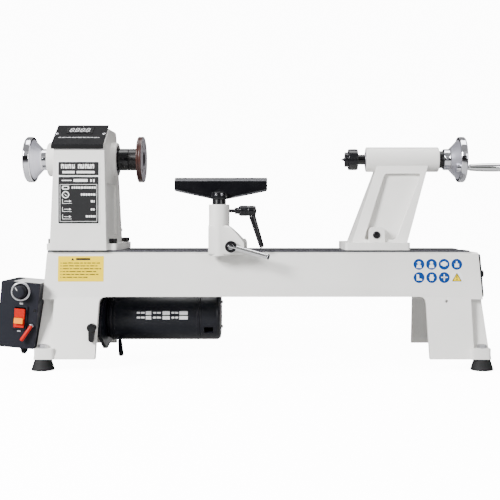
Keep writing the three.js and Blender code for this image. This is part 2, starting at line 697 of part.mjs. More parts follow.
// The eccentric shaft runs the length of the banjo and its lever passes through the front end.
function banjoCamLever() {
  const shaft = turned('y', [CAM_X, 0, CAM_Z], [
    [0, -113.4], [8.4, -113.4], [9.4, -112.4], [9.4, -104.4], [5.5, -104.4], [5.5, 58], [0, 58],
  ], 16);
  const lever = bar([CAM_X - 6, -109.6, CAM_Z + 2], [10, -109.6, 180.6], 4.1, 4.1, 10);
  return shaft.add(lever);
}

function eyeBolt(x, z, halfEye, eyeOuter, eyeInner, nutLow, nutHigh, shank) {
  const eye = rod('y', [x, 0, z], eyeOuter, -halfEye, halfEye, 16);
  const stem = rod('z', [x, 0, 0], shank, nutLow, z, 10);
  const nut = rod('z', [x, 0, 0], shank * 1.8, nutLow, nutHigh, 6);
  return joined(eye, stem, nut).subtract(rod('y', [x, 0, z], eyeInner, -30, 30, 14));
}

function clampPlate(x, halfX, halfY, low, high, hole) {
  const plate = prism('z', low, high, [[x - halfX, -halfY, 8], [x + halfX, -halfY, 8], [x + halfX, halfY, 8],
    [x - halfX, halfY, 8]], 3);
  return plate.subtract(rod('z', [x, 0, 0], hole, low - 5, high + 5, 16));
}

function toolRest() {
  const left = COLUMN_X - 73;
  const right = COLUMN_X + 77;
  const face = prism('y', -95, -60, [
    [left, 308, 1.5], [right, 308, 1.5], [right, 286, 3], [COLUMN_X + 13, 273], [COLUMN_X - 12, 273],
    [left, 286, 3],
  ]);
  const section = prism('x', left - 5, right + 5, [
    [-77.5, 272], [-78.5, 302], [-69, 308, 1], [-65, 307, 1], [-65.5, 303, 1], [-70, 297], [-69.5, 272],
  ]);
  const hub = turned('z', [COLUMN_X, COLUMN_Y, 0], [[0, 272.3], [12.5, 272.3], [13.5, 274], [13.5, 283],
    [0, 289]], 28);
  const neck = block([COLUMN_X - 11, -86, 273], [COLUMN_X + 11, -72, 284]);
  return joined(face.intersect(section), hub, neck);
}

function ratchetLever() {
  const centre = [0, COLUMN_Y, REST_LOCK_Z];
  const body = turned('x', centre, [[0, -57.6], [2.9, -57.6], [2.9, -38.5], [6.6, -38.5], [8.4, -36],
    [8.4, -14], [7.2, -10.6], [0, -9.8]], 16);
  return body.add(bar([-17, COLUMN_Y, 247], [-1, COLUMN_Y, 196], 5, 4, 10));
}

place('banjo_casting', banjoCasting(), PAINT);
place('banjo_cam_lever', banjoCamLever(), CHROME);
place('banjo_clamp_bolt', eyeBolt(CAM_X, CAM_Z, 5, 9.9, 7, 152, 159.7, 4), STEEL);
place('banjo_clamp_plate', clampPlate(CAM_X, 34, 32, 160, 173, 4.3), STEEL);
place('tool_rest_post', rod('z', [COLUMN_X, COLUMN_Y, 0], POST_R, 200, 272, 20), STEEL);
place('tool_rest', toolRest(), BLACK_IRON);
place('rest_lock_lever', ratchetLever(), BLACK_IRON);

// ---------- tailstock ----------
function tailstockCasting() {
  const base = prism('z', SEAT_Z, 202.5, [[133.5, -76.5, 5], [239, -76.5, 5], [239, 76.5, 5], [133.5, 76.5, 5]], 3);
  const key = block([140, -SLOT_HALF + 0.8, 183], [233, SLOT_HALF - 0.8, 191]);
  const web = prism('y', -80, 80, [[145.5, 200], [236.5, 200], [278.5, 334], [193, 334]]);
  const lean = prism('x', 120, 300, [[-56, 200], [56, 200], [17, 334], [-17, 334]]);
  const pocketFloor = prism('x', 120, 300, [[-46, 190], [46, 190], [9, 340], [-9, 340]]);
  const pocket = prism('y', -80, 80, [[166, 207, 5], [219.5, 207, 5], [265, 317, 5], [204, 317, 5]])
    .subtract(pocketFloor);
  const camBoss = prism('y', -60, 60, [[174, 200], [200, 200], [200, 228, 9], [174, 228, 9]]);
  const centre = [0, 0, AXIS_Z];
  const barrel = turned('x', centre, [[0, BARREL_LEFT], [BARREL_R - 1, BARREL_LEFT], [BARREL_R, BARREL_LEFT + 1],
    [BARREL_R, BARREL_RIGHT - 1], [BARREL_R - 1, BARREL_RIGHT], [0, BARREL_RIGHT]], 24);
  const solid = joined(base, key, web.intersect(lean).subtract(pocket), camBoss, barrel);
  const cavity = prism('y', -80, 80, [[156, 175], [226, 175], [258, 312], [207, 312]])
    .intersect(prism('x', 120, 300, [[-37, 175], [37, 175], [5, 316], [-5, 316]]));
  return cut(
    solid,
    cavity,
    rod('x', centre, QUILL_R + GAP, 150, 285, 22),
    rod('x', centre, 7, 280, 310),
    rod('y', [TAIL_CAM_X, 0, TAIL_CAM_Z], 6.1, -90, 90, 20),
    rod('y', [205, 0, AXIS_Z], 3.3, 8, 40, 14),
  );
}

function quill() {
  const points = [[5.2, 272], [5.2, 218], [7.76, 218], [8.9, 172.6], [QUILL_R - 0.6, 172.6], [QUILL_R, 173.4],
    [QUILL_R, 271.4], [QUILL_R - 0.6, 272], [5.2, 272]];
  return turned('x', SPINDLE_CENTRE, points, 20);
}

function quillScrew() {
  const points = [[0, 219], [4.9, 219], [4.9, 277], [11.5, 277], [11.5, 284.7], [6.7, 284.7], [6.7, 325], [0, 325]];
  return turned('x', SPINDLE_CENTRE, points, 20);
}

function liveCentrePoint() {
  const points = [[0, 132], [3.7, 138.4], [12.5, 138.4], [12.5, 144], [17, 144], [17.8, 145], [17.8, 159],
    [16.8, 160.4], [0, 160.4]];
  return turned('x', SPINDLE_CENTRE, points, 24);
}

function liveCentreArbor() {
  return turned('x', SPINDLE_CENTRE, [[0, 160.7], [8.6, 160.7], [8.6, 172], [7.46, 216], [0, 216]], 24);
}

const CRANK_Y = -Math.sqrt(CRANK_RADIUS ** 2 - CRANK_DROP ** 2);
const CRANK_Z = AXIS_Z - CRANK_DROP;

function tailHandwheel() {
  const wheel = turned('x', SPINDLE_CENTRE, handwheelProfile(7, 305.5, 1), 24);
  const boss = rod('x', [0, CRANK_Y, CRANK_Z], 7, 323, 342, 20);
  return wheel.add(boss);
}

// A barrel-shaped revolving grip with a slim neck next to the wheel.
function crankHandle() {
  const length = HALF_LENGTH - 342.4;
  const points = [[0, 342.4], [4.4, 342.4]];
  for (let i = 0; i <= 6; i += 1) {
    const t = i / 6;
    points.push([5 + 2.2 * Math.sin(Math.PI * (0.12 + 0.8 * t)), 342.4 + length * (0.05 + 0.9 * t)]);
  }
  points.push([3.6, HALF_LENGTH - 0.6], [0, HALF_LENGTH]);
  return turned('x', [0, CRANK_Y, CRANK_Z], points, 14);
}

function tailCamLever() {
  const shaft = turned('y', [TAIL_CAM_X, 0, TAIL_CAM_Z], [
    [0, -62], [5.8, -62], [5.8, 62], [9, 62], [9, 76], [0, 76],
  ], 14);
  return shaft.add(bar([183, 69, 208], [209, 69, 288], 4.1, 4.1, 10));
}

function quillLockLever() {
  const body = turned('y', [205, 0, AXIS_Z], [[0, 14], [2.9, 14], [2.9, 26], [6.5, 26], [8, 28], [8, 42], [6, 45],
    [0, 45.5]], 14);
  return body.add(bar([206, 38, 335], [212, 44, 292], 4.6, 3.8, 10));
}

place('tailstock_casting', tailstockCasting(), PAINT);
place('quill', quill(), STEEL);
place('quill_screw', quillScrew(), STEEL);
place('tail_handwheel', tailHandwheel(), ALUMINIUM);
place('crank_handle', crankHandle(), CHROME);
place('live_centre_point', liveCentrePoint(), BLACK_IRON);
place('live_centre_arbor', liveCentreArbor(), STEEL);
place('tail_cam_lever', tailCamLever(), CHROME);
place('tail_clamp_bolt', eyeBolt(TAIL_CAM_X, TAIL_CAM_Z, 7, 11, 7.2, 148, 156.7, 5), STEEL);
place('tail_clamp_plate', clampPlate(TAIL_CAM_X, 38, 32, 157, 172, 5.3), STEEL);
place('quill_lock_lever', quillLockLever(), BLACK_IRON);

export default lathe;
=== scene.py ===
"""Looks for a bench wood lathe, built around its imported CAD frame.

Lengths are in millimetres up to Shape.build.
"""
import json
import math
import random

import bmesh
import bpy
from mathutils import Matrix, Vector

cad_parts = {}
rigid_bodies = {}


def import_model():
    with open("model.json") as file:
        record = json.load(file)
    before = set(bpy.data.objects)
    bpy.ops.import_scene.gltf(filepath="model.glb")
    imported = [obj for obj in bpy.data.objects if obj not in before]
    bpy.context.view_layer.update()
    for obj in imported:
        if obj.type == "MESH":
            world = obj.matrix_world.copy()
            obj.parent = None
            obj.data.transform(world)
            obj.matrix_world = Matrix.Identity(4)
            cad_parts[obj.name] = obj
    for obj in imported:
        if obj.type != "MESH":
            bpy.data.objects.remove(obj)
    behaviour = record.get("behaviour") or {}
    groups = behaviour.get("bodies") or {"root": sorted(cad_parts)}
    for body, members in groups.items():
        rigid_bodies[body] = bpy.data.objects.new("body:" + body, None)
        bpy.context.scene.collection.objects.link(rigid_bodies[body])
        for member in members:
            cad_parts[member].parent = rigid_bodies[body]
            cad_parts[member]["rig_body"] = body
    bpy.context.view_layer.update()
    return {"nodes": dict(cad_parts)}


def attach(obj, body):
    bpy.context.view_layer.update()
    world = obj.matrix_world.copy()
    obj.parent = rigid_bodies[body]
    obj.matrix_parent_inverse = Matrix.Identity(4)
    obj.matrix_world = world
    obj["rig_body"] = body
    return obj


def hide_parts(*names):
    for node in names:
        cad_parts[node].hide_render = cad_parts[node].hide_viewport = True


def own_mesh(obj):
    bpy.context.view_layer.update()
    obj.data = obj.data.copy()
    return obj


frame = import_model()
SCENE = bpy.context.scene
MM = 0.001
AXIS_Z = 342
SPINDLE = (0, 0, AXIS_Z)
MOTOR = (0, 15, 76)
SPINDLE_AXIS = ("x", SPINDLE)
MOTOR_AXIS = ("x", MOTOR)
random.seed(12)

# ---------- materials ----------


class Nodes:
    """A small builder for a Principled material in object coordinates."""

    def __init__(self, name):
        self.material = bpy.data.materials.new(name)
        self.material.use_nodes = True
        self.tree = self.material.node_tree
        self.shader = self.tree.nodes["Principled BSDF"]
        self.coords = self.add("ShaderNodeTexCoord").outputs["Object"]

    def add(self, kind, **settings):
        node = self.tree.nodes.new(kind)
        for key, value in settings.items():
            setattr(node, key, value)
        return node

    def link(self, source, target):
        self.tree.links.new(source, target)

    def noise(self, scale, detail=3.0, vector=None):
        node = self.add("ShaderNodeTexNoise")
        node.inputs["Scale"].default_value = scale
        node.inputs["Detail"].default_value = detail
        self.link(vector or self.coords, node.inputs["Vector"])
        return node.outputs["Fac"]

    def remap(self, value, low, high, to_low, to_high):
        node = self.add("ShaderNodeMapRange")
        for socket, number in zip(node.inputs[1:5], (low, high, to_low, to_high)):
            socket.default_value = number
        self.link(value, node.inputs[0])
        return node.outputs[0]

    def math(self, operation, a, b=None):
        node = self.add("ShaderNodeMath", operation=operation)
        for socket, value in zip(node.inputs, (a, b)):
            if isinstance(value, (int, float)):
                socket.default_value = value
            elif value is not None:
                self.link(value, socket)
        return node.outputs[0]

    def blend(self, factor, a, b):
        """Mixes two colours, each one a tuple or a socket."""
        node = self.add("ShaderNodeMix", data_type="RGBA")
        self.link(factor, node.inputs["Factor"])
        for socket, value in ((node.inputs[6], a), (node.inputs[7], b)):
            if isinstance(value, tuple):
                socket.default_value = (*value, 1)
            else:
                self.link(value, socket)
        return node.outputs[2]

    def mixed(self, factor, a, b):
        node = self.add("ShaderNodeMix", data_type="FLOAT")
        self.link(factor, node.inputs["Factor"])
        for socket, value in ((node.inputs[2], a), (node.inputs[3], b)):
            if isinstance(value, (int, float)):
                socket.default_value = value
            else:
                self.link(value, socket)
        return node.outputs[0]

    def split(self):
        node = self.add("ShaderNodeSeparateXYZ")
        self.link(self.coords, node.inputs[0])
        return node.outputs

    def bump(self, height, distance, strength=1.0, normal=None):
        node = self.add("ShaderNodeBump")
        node.inputs["Distance"].default_value = distance
        node.inputs["Strength"].default_value = strength
        self.link(height, node.inputs["Height"])
        if normal is not None:
            self.link(normal, node.inputs["Normal"])
        return node.outputs["Normal"]

    def soft_edges(self, radius):
        node = self.add("ShaderNodeBevel", samples=4)
        node.inputs["Radius"].default_value = radius
        return node.outputs["Normal"]

    def edge_mask(self, radius):
        """One on sharp edges and zero on open faces, from how far a rounded normal turns."""
        turned = self.add("ShaderNodeVectorMath", operation="DOT_PRODUCT")
        self.link(self.soft_edges(radius), turned.inputs[0])
        self.link(self.add("ShaderNodeNewGeometry").outputs["Normal"], turned.inputs[1])
        return self.remap(turned.outputs["Value"], 0.97, 0.80, 0, 1)

    def shade(self, value, a, b):
        """Runs from colour a to colour b over the middle of a noise."""
        return self.blend(self.remap(value, 0.3, 0.7, 0, 1), a, b)

    def lines_round(self, letter, centre, scale):
        """The distance from an axis, the place along it, and fine turning lines round it."""
        parts = dict(zip("xyz", zip(self.split(), centre)))
        along = parts.pop(letter)[0]
        squares = [self.math("POWER", self.math("SUBTRACT", s, c * MM), 2.0) for s, c in parts.values()]
        radius = self.math("SQRT", self.math("ADD", *squares))
        stretched = self.add("ShaderNodeCombineXYZ")
        self.link(radius, stretched.inputs[0])
        self.link(along, stretched.inputs[1])
        return radius, along, self.noise(scale, 3, stretched.outputs[0])


def enamel(name, color, rough, grain=0.00006, grain_scale=900, edges=0.0006, wear=None, mottle=0.06, coat=0.0,
           shine=0.5):
    """A painted or moulded surface: faint mottling, fine grain, dust in the roughness, wear on the edges."""
    n = Nodes(name)
    broad = n.noise(14, 4)
    darker = tuple(c * (1 - mottle) for c in color)
    tone = n.blend(n.remap(broad, 0.35, 0.65, 0, 1), color, darker)
    specks = n.remap(n.noise(420, 2), 0.68, 0.74, 0, 0.35)
    tone = n.blend(specks, tone, tuple(c * 0.7 for c in color))
    if wear:
        rub = n.math("MULTIPLY", n.edge_mask(0.0012), n.remap(n.noise(160, 3), 0.52, 0.66, 0, 0.7))
        tone = n.blend(rub, tone, wear)
    n.link(tone, n.shader.inputs["Base Color"])
    n.link(n.remap(n.noise(36, 5), 0.3, 0.7, rough - 0.05, rough + 0.07), n.shader.inputs["Roughness"])
    n.shader.inputs["Specular IOR Level"].default_value = shine
    n.shader.inputs["Coat Weight"].default_value = coat
    n.shader.inputs["Coat Roughness"].default_value = 0.12
    normal = n.soft_edges(edges) if edges else None
    normal = n.bump(n.noise(60, 3), 0.0002, 0.25, normal)
    n.link(n.bump(n.noise(grain_scale, 4), grain, 0.6, normal), n.shader.inputs["Normal"])
    return n.material


def machined(name, color, rough, axis=None, line_scale=900, depth=0.00003, stain=(0.2, 0.16, 0.13),
             stained=0.12,
             edges=0.0003):
    """Bare metal, with turning lines round an axis of (letter, centre), or ground lengthwise without one."""
    n = Nodes(name)
    if axis:
        lines = n.lines_round(*axis, line_scale)[2]
    else:
        x, y, z = n.split()
        stretched = n.add("ShaderNodeCombineXYZ")
        n.link(n.math("MULTIPLY", x, 0.02), stretched.inputs[0])
        n.link(y, stretched.inputs[1])
        n.link(z, stretched.inputs[2])
        lines = n.noise(line_scale, 3, stretched.outputs[0])
    cloud = n.noise(30, 4)
    tone = n.shade(lines, color, tuple(c * 0.82 for c in color))
    tone = n.blend(n.remap(cloud, 0.55, 0.8, 0, stained), tone, stain)
    n.link(tone, n.shader.inputs["Base Color"])
    n.shader.inputs["Metallic"].default_value = 1.0
    smear = n.mixed(n.remap(cloud, 0.35, 0.7, 0, 1), rough, rough + 0.08)
    n.link(n.math("ADD", smear, n.math("MULTIPLY", lines, 0.08)), n.shader.inputs["Roughness"])
    normal = n.soft_edges(edges) if edges else None
    normal = n.bump(lines, depth, 0.5, normal)
    n.link(n.bump(n.noise(1500, 2), 0.00001, 0.3, normal), n.shader.inputs["Normal"])
    return n.material


def wheel_finish():
    """A turned aluminium handwheel: polished hub and rim, and a satin cone between them."""
    n = Nodes("polished_aluminium")
    radius, _, lines = n.lines_round(*SPINDLE_AXIS, 1600)
    satin = n.math("MULTIPLY", n.remap(radius, 0.0190, 0.0205, 0, 1), n.remap(radius, 0.0335, 0.0350, 1, 0))
    bright = n.shade(lines, (0.80, 0.80, 0.84), (0.72, 0.72, 0.77))
    brushed = n.shade(lines, (0.66, 0.66, 0.74), (0.54, 0.54, 0.62))
    n.link(n.blend(satin, bright, brushed), n.shader.inputs["Base Color"])
    n.shader.inputs["Metallic"].default_value = 1.0
    n.link(n.mixed(satin, n.remap(lines, 0.3, 0.7, 0.05, 0.09), n.remap(lines, 0.3, 0.7, 0.30, 0.38)),
           n.shader.inputs["Roughness"])
    n.link(n.bump(lines, 0.000012, 0.5, n.soft_edges(0.0004)), n.shader.inputs["Normal"])
    return n.material


def bed_finish():
    """The bed: cast enamel, with bare ground ways on top."""
    n = Nodes("bed_enamel_and_ways")
    x, y, z = n.split()
    bare = n.remap(z, 0.18715, 0.1874, 0, 1)
    broad = n.noise(10, 4)
    paint = n.blend(n.remap(broad, 0.35, 0.65, 0, 1), PAINT, tuple(c * 0.95 for c in PAINT))
    paint = n.blend(n.remap(n.noise(420, 2), 0.68, 0.74, 0, 0.3), paint, tuple(c * 0.7 for c in PAINT))
    rub = n.math("MULTIPLY", n.edge_mask(0.0015), n.remap(n.noise(140, 3), 0.58, 0.68, 0, 0.5))
    paint = n.blend(rub, paint, (0.33, 0.32, 0.31))
    ground = n.add("ShaderNodeCombineXYZ")
    n.link(x, ground.inputs[0])
    n.link(n.math("MULTIPLY", y, 0.03), ground.inputs[1])
    scratches = n.noise(700, 3, ground.outputs[0])
    steel = n.shade(scratches, (0.17, 0.17, 0.19), (0.10, 0.10, 0.12))
    n.link(n.blend(bare, paint, steel), n.shader.inputs["Base Color"])
    n.link(bare, n.shader.inputs["Metallic"])
    n.link(n.mixed(bare, n.remap(n.noise(36, 5), 0.3, 0.7, 0.40, 0.52), 0.34), n.shader.inputs["Roughness"])
    normal = n.bump(n.noise(45, 3), 0.0003, 0.3, n.soft_edges(0.0012))
    normal = n.bump(n.noise(800, 4), 0.00006, 0.6, normal)
    n.link(normal, n.shader.inputs["Normal"])
    return n.material


def faceplate_finish():
    """Dark brown oiled iron, black towards the spindle, with a bright machined face."""
    n = Nodes("faceplate_iron")
    radius, x, lines = n.lines_round(*SPINDLE_AXIS, 1400)
    face = n.remap(x, -0.20285, -0.2026, 0, 1)
    brown = n.shade(n.noise(60, 4), (0.050, 0.016, 0.011), (0.030, 0.010, 0.008))
    brown = n.blend(n.remap(radius, 0.020, 0.026, 1, 0), brown, (0.006, 0.005, 0.006))
    bright = n.shade(lines, (0.50, 0.48, 0.52), (0.43, 0.41, 0.45))
    n.link(n.blend(face, brown, bright), n.shader.inputs["Base Color"])
    n.shader.inputs["Metallic"].default_value = 0.15
    n.link(n.math("ADD", n.math("MULTIPLY", lines, 0.08), 0.28), n.shader.inputs["Roughness"])
    n.link(n.bump(lines, 0.00001, 0.5, n.soft_edges(0.0004)), n.shader.inputs["Normal"])
    return n.material


def glow(name, color, strength):
    n = Nodes(name)
    n.link(n.blend(n.noise(2500, 2), color, tuple(c * 0.8 for c in color)), n.shader.inputs["Base Color"])
    n.shader.inputs["Roughness"].default_value = 0.35
    n.shader.inputs["Emission Color"].default_value = (*color, 1)
    n.shader.inputs["Emission Strength"].default_value = strength
    n.link(n.bump(n.noise(1800, 2), 0.00002, 0.4), n.shader.inputs["Normal"])
    return n.material


PAINT = (0.80, 0.79, 0.765)
PAINT_MAT = enamel("cast_enamel", PAINT, 0.44, grain=0.00007, grain_scale=800, edges=0.0012,
                   wear=(0.36, 0.35, 0.34), mottle=0.05, coat=0.15)
BED_MAT = bed_finish()
BLACK_MAT = enamel("black_powder_coat", (0.0045, 0.005, 0.009), 0.36, grain=0.00007, grain_scale=1500,
                   edges=0.0006, mottle=0.2, shine=0.3)
PANEL_MAT = enamel("satin_black_sheet", (0.0045, 0.0045, 0.0055), 0.62, grain=0.00005, grain_scale=1800,
                   edges=0.0004, mottle=0.15, shine=0.12)
IRON_MAT = enamel("black_enamel_iron", (0.0035, 0.0035, 0.005), 0.23, grain=0.00005, grain_scale=1100,
                  edges=0.0005, wear=(0.04, 0.04, 0.05), mottle=0.2, shine=0.4)
PLASTIC_MAT = enamel("black_moulded_plastic", (0.0055, 0.0062, 0.0115), 0.50, grain=0.00007, grain_scale=2200,
                     edges=0.0005, mottle=0.15, shine=0.22)
RUBBER_MAT = enamel("black_rubber", (0.010, 0.010, 0.011), 0.72, grain=0.00012, grain_scale=1200,
                    edges=0.0006,
                    mottle=0.3, shine=0.3)
RED_MAT = enamel("red_plastic", (0.46, 0.008, 0.002), 0.42, grain=0.00002, grain_scale=2000, edges=0.0004,
                 mottle=0.12, shine=0.2)
YELLOW_MAT = enamel("yellow_key_plastic", (0.90, 0.26, 0.002), 0.42, grain=0.00002, grain_scale=2000,
                    edges=0.0004, mottle=0.08, shine=0.2)
LENS_MAT = enamel("smoked_window", (0.004, 0.004, 0.005), 0.14, grain=0.00001, grain_scale=600, edges=0,
                  mottle=0.1, shine=0.3)
FACE_MAT = faceplate_finish()
ALU_MAT = wheel_finish()
ALU_PLAIN_MAT = machined("satin_aluminium", (0.76, 0.76, 0.79), 0.24, None, 1500, 0.00002, stained=0.05)
STEEL_MAT = machined("ground_steel", (0.42, 0.42, 0.44), 0.24, SPINDLE_AXIS, 1300, 0.00003)
STEEL_PLAIN_MAT = machined("plain_steel", (0.36, 0.36, 0.38), 0.30, None, 900, 0.00003)
MOTOR_STEEL_MAT = machined("motor_steel", (0.40, 0.39, 0.38), 0.30, MOTOR_AXIS, 1200, 0.00003)
CHROME_MAT = machined("bright_chrome", (0.86, 0.86, 0.88), 0.035, None, 2500, 0.000006, stained=0.02)
SCREW_MAT = machined("zinc_screw", (0.62, 0.62, 0.65), 0.22, None, 1800, 0.00002)
PRINT_WHITE = enamel("print_white", (0.86, 0.86, 0.86), 0.38, grain=0.00002, edges=0, mottle=0.03)
PRINT_YELLOW = enamel("print_yellow", (0.86, 0.62, 0.0), 0.60, grain=0.00002, edges=0, mottle=0.02,
                      shine=0.05)
BLACK_PRINT_AND_RECESS_SHADE = enamel("black_print_and_recess_shade", (0.006, 0.006, 0.007), 0.50, grain=0.00002, edges=0, mottle=0.1,
                     shine=0.25)
PRINT_BLUE = enamel("print_blue", (0.002, 0.040, 0.20), 0.55, grain=0.00002, edges=0, mottle=0.05, shine=0.1)
PRINT_PALE = enamel("print_pale_grey", (0.42, 0.42, 0.43), 0.45, grain=0.00002, edges=0, mottle=0.05)
PRINT_GREY = enamel("print_grey", (0.30, 0.30, 0.31), 0.40, grain=0.00002, edges=0, mottle=0.05)
DIGIT_MAT = glow("display_digit", (0.62, 0.62, 0.64), 0.55)

# ---------- shapes ----------


def fillet(points, radius, steps=3, closed=False):
    """Rounds the corners of a polyline of (u, v) or (u, v, r) points. An open line keeps its ends."""
    rounded = []
    count = len(points)
    for i, point in enumerate(points):
        corner = Vector(point[:2])
        r = point[2] if len(point) > 2 else radius
        if not closed and i in (0, count - 1) or r <= 0:
            rounded.append(tuple(corner))
            continue
        before = Vector(points[i - 1][:2]) - corner
        after = Vector(points[(i + 1) % count][:2]) - corner
        reach = min(r, before.length * 0.45, after.length * 0.45)
        if reach < 1e-4:
            rounded.append(tuple(corner))
            continue
        start = corner + before.normalized() * reach
        end = corner + after.normalized() * reach
        for k in range(steps + 1):
            t = k / steps
            rounded.append(tuple((1 - t) ** 2 * start + 2 * t * (1 - t) * corner + t * t * end))
    return rounded


TURN_FRAMES = {
    "x": Matrix(((0, 0, 1), (1, 0, 0), (0, 1, 0))).to_4x4(),
    "y": Matrix(((0, 1, 0), (0, 0, 1), (1, 0, 0))).to_4x4(),
    "z": Matrix.Identity(4),
}


class Shape:
    """Shells gathered into one piece. Every shell has a material index and its own place."""

    def __init__(self, place=None):
        self.place = place or Matrix.Identity(4)
        self.vertices, self.faces, self.slots = [], [], []

    def shell(self, vertices, faces, slot=0, place=None):
        matrix = self.place @ (place or Matrix.Identity(4))
        first = len(self.vertices)
        self.vertices += [matrix @ Vector(v) for v in vertices]
        self.faces += [tuple(first + i for i in f) for f in faces]
        self.slots += [slot] * len(faces)
        return self

    def turn(self, axis, centre, profile, radius=0.5, slot=0, segments=96, sides=None, place=None):
        """A turned shell from (r, station) points. sides maps a point's number to a polygon's sides."""
        sides = sides or {}
        flat = [(*p[:2], radius) for p in profile]
        line = flat if sides else fillet(flat, radius)
        rings, vertices, faces = [], [], []
        for i, (r, s, *_) in enumerate(line):
            ring = []
            if r < 1e-5:
                ring = [len(vertices)]
                vertices.append((0, 0, s))
            else:
                for k in range(segments):
                    angle = math.tau * k / segments
                    grown = r
                    if i in sides:
                        part = math.tau / sides[i]
                        grown = r * math.cos(part / 2) / math.cos(angle % part - part / 2)
                    ring.append(len(vertices))
                    vertices.append((grown * math.cos(angle), grown * math.sin(angle), s))
            rings.append(ring)
        for a, b in zip(rings, rings[1:]):
            for k in range(segments):
                j = (k + 1) % segments
                if len(a) == 1 and len(b) == 1:
                    break
                if len(a) == 1:
                    faces.append((a[0], b[k], b[j]))
                elif len(b) == 1:
                    faces.append((a[k], a[j], b[0]))
                else:
                    faces.append((a[k], a[j], b[j], b[k]))
        matrix = Matrix.Translation(centre) @ TURN_FRAMES[axis]
        return self.shell(vertices, faces, slot, (place or Matrix.Identity(4)) @ matrix)

    def prism(self, axis, low, high, outline, radius=0.0, slot=0, steps=4, place=None):
        """An outline, (Y, Z), (X, Z) or (X, Y), carried along an axis."""
        line = fillet(outline, radius, steps, closed=True)
        at = {"x": lambda u, v, w: (w, u, v), "y": lambda u, v, w: (u, w, v), "z": lambda u, v,
              w: (u, v, w)}[axis]
        count = len(line)
        vertices = [at(u, v, low) for u, v in line] + [at(u, v, high) for u, v in line]
        faces = [tuple(range(count)), tuple(range(2 * count - 1, count - 1, -1))]
        faces += [(i, (i + 1) % count, count + (i + 1) % count, count + i) for i in range(count)]
        return self.shell(vertices, faces, slot, place)

    def box(self, low, high, slot=0, place=None):
        (x0, y0, z0), (x1, y1, z1) = low, high
        return self.prism("z", z0, z1, [(x0, y0), (x1, y0), (x1, y1), (x0, y1)], 0, slot, place=place)

    def bar(self, start, end, r0, r1, slot=0, segments=40):
        """A round bar between two points with domed ends."""
        a, b = Vector(start), Vector(end)
        length = (b - a).length
        profile = [(0, -r0 * 0.3)]
        profile += [(r0 * math.sin(t), r0 * (0.4 - 0.7 * math.cos(t))) for t in (0.5, 0.85, 1.2)]
        profile += [(r0, r0 * 0.4), (r1, length - r1 * 0.4)]
        profile += [(r1 * math.sin(t), length - r1 * (0.4 - 0.7 * math.cos(t))) for t in (1.2, 0.85, 0.5)]
        profile += [(0, length + r1 * 0.3)]
        turn = (b - a).to_track_quat("Z", "Y").to_matrix().to_4x4()
        return self.turn("z", (0, 0, 0), profile, 0, slot, segments, place=Matrix.Translation(a) @ turn)

    def slab(self, sheet, outline, low, high, slot=0, radius=0.0):
        """A thin plate on a sheet of (origin, right, up), from low to high off it."""
        return self.prism("z", low, high, outline, radius, slot, place=sheet_matrix(sheet))

    def cad(self, node, slot=0):
        """A copy of a CAD node's own mesh, with its flat faces whole again."""
        mesh = bmesh.new()
        mesh.from_mesh(frame["nodes"][node].data)
        bmesh.ops.remove_doubles(mesh, verts=mesh.verts, dist=2e-6)
        bmesh.ops.dissolve_limit(mesh, angle_limit=math.radians(1.5), verts=mesh.verts, edges=mesh.edges)
        mesh.verts.ensure_lookup_table()
        vertices = [v.co / MM for v in mesh.verts]
        faces = [tuple(v.index for v in f.verts) for f in mesh.faces]
        mesh.free()
        return self.shell(vertices, faces, slot)

    def build(self, name, body, slot, materials, bevel=0.4, stands_for=(), segments=2, angle=38):
        mesh = bpy.data.meshes.new(name)
        mesh.from_pydata([v * MM for v in self.vertices], [], self.faces)
        mesh.validate()
        tidy = bmesh.new()
        tidy.from_mesh(mesh)
        bmesh.ops.recalc_face_normals(tidy, faces=tidy.faces)
        tidy.to_mesh(mesh)
        tidy.free()
        materials = materials if isinstance(materials, (list, tuple)) else [materials]
        for material in materials:
            mesh.materials.append(material)
        if len(mesh.polygons) == len(self.slots):
            mesh.polygons.foreach_set("material_index", self.slots)
        mesh.polygons.foreach_set("use_smooth", [True] * len(mesh.polygons))
        mesh.set_sharp_from_angle(angle=math.radians(angle))
        obj = bpy.data.objects.new(name, mesh)
        SCENE.collection.objects.link(obj)
        if bevel:
            mod = obj.modifiers.new("edges", "BEVEL")
            mod.width = bevel * MM
            mod.segments = segments
            mod.limit_method = "ANGLE"
            mod.angle_limit = math.radians(angle)
            mod.use_clamp_overlap = True
            mod.harden_normals = True
        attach(obj, body)
        if stands_for:
            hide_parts(*stands_for)
        return obj


def sheet_matrix(sheet):
    origin, right, up = sheet
    u = Vector(right).normalized()
    v = Vector(up).normalized()
    rows = Matrix((u, v, u.cross(v))).transposed()
    return Matrix.Translation(origin) @ rows.to_4x4()


def rectangle(x0, y0, x1, y1):
    return [(x0, y0), (x1, y0), (x1, y1), (x0, y1)]


def words(shape, sheet, x0, x1, z, height, widths, gap, low, high, slot, radius):
    """A row of bars that stands for a line of print, in words of random width."""
    start = x0
    while start < x1:
        end = min(start + random.uniform(*widths), x1)
        shape.slab(sheet, rectangle(start, z, end, z + height), low, high, slot, radius)
        start = end + gap


def carve(obj, cutter_shape):
    """Cuts holes into a finished piece and removes the cutter."""
    cutter = cutter_shape.build(obj.name + ".cutter", obj["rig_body"], "steel", STEEL_MAT, 0)
    mod = obj.modifiers.new("holes", "BOOLEAN")
    mod.operation = "DIFFERENCE"
    mod.solver = "EXACT"
    mod.object = cutter
    while obj.modifiers.find("holes") > 0:
        bpy.context.view_layer.objects.active = obj
        bpy.ops.object.modifier_move_up(modifier="holes")
    with bpy.context.temp_override(object=obj, active_object=obj):
        bpy.ops.object.modifier_apply(modifier="holes")
    bpy.data.objects.remove(cutter)
    obj.data.set_sharp_from_angle(angle=math.radians(38))
    return obj


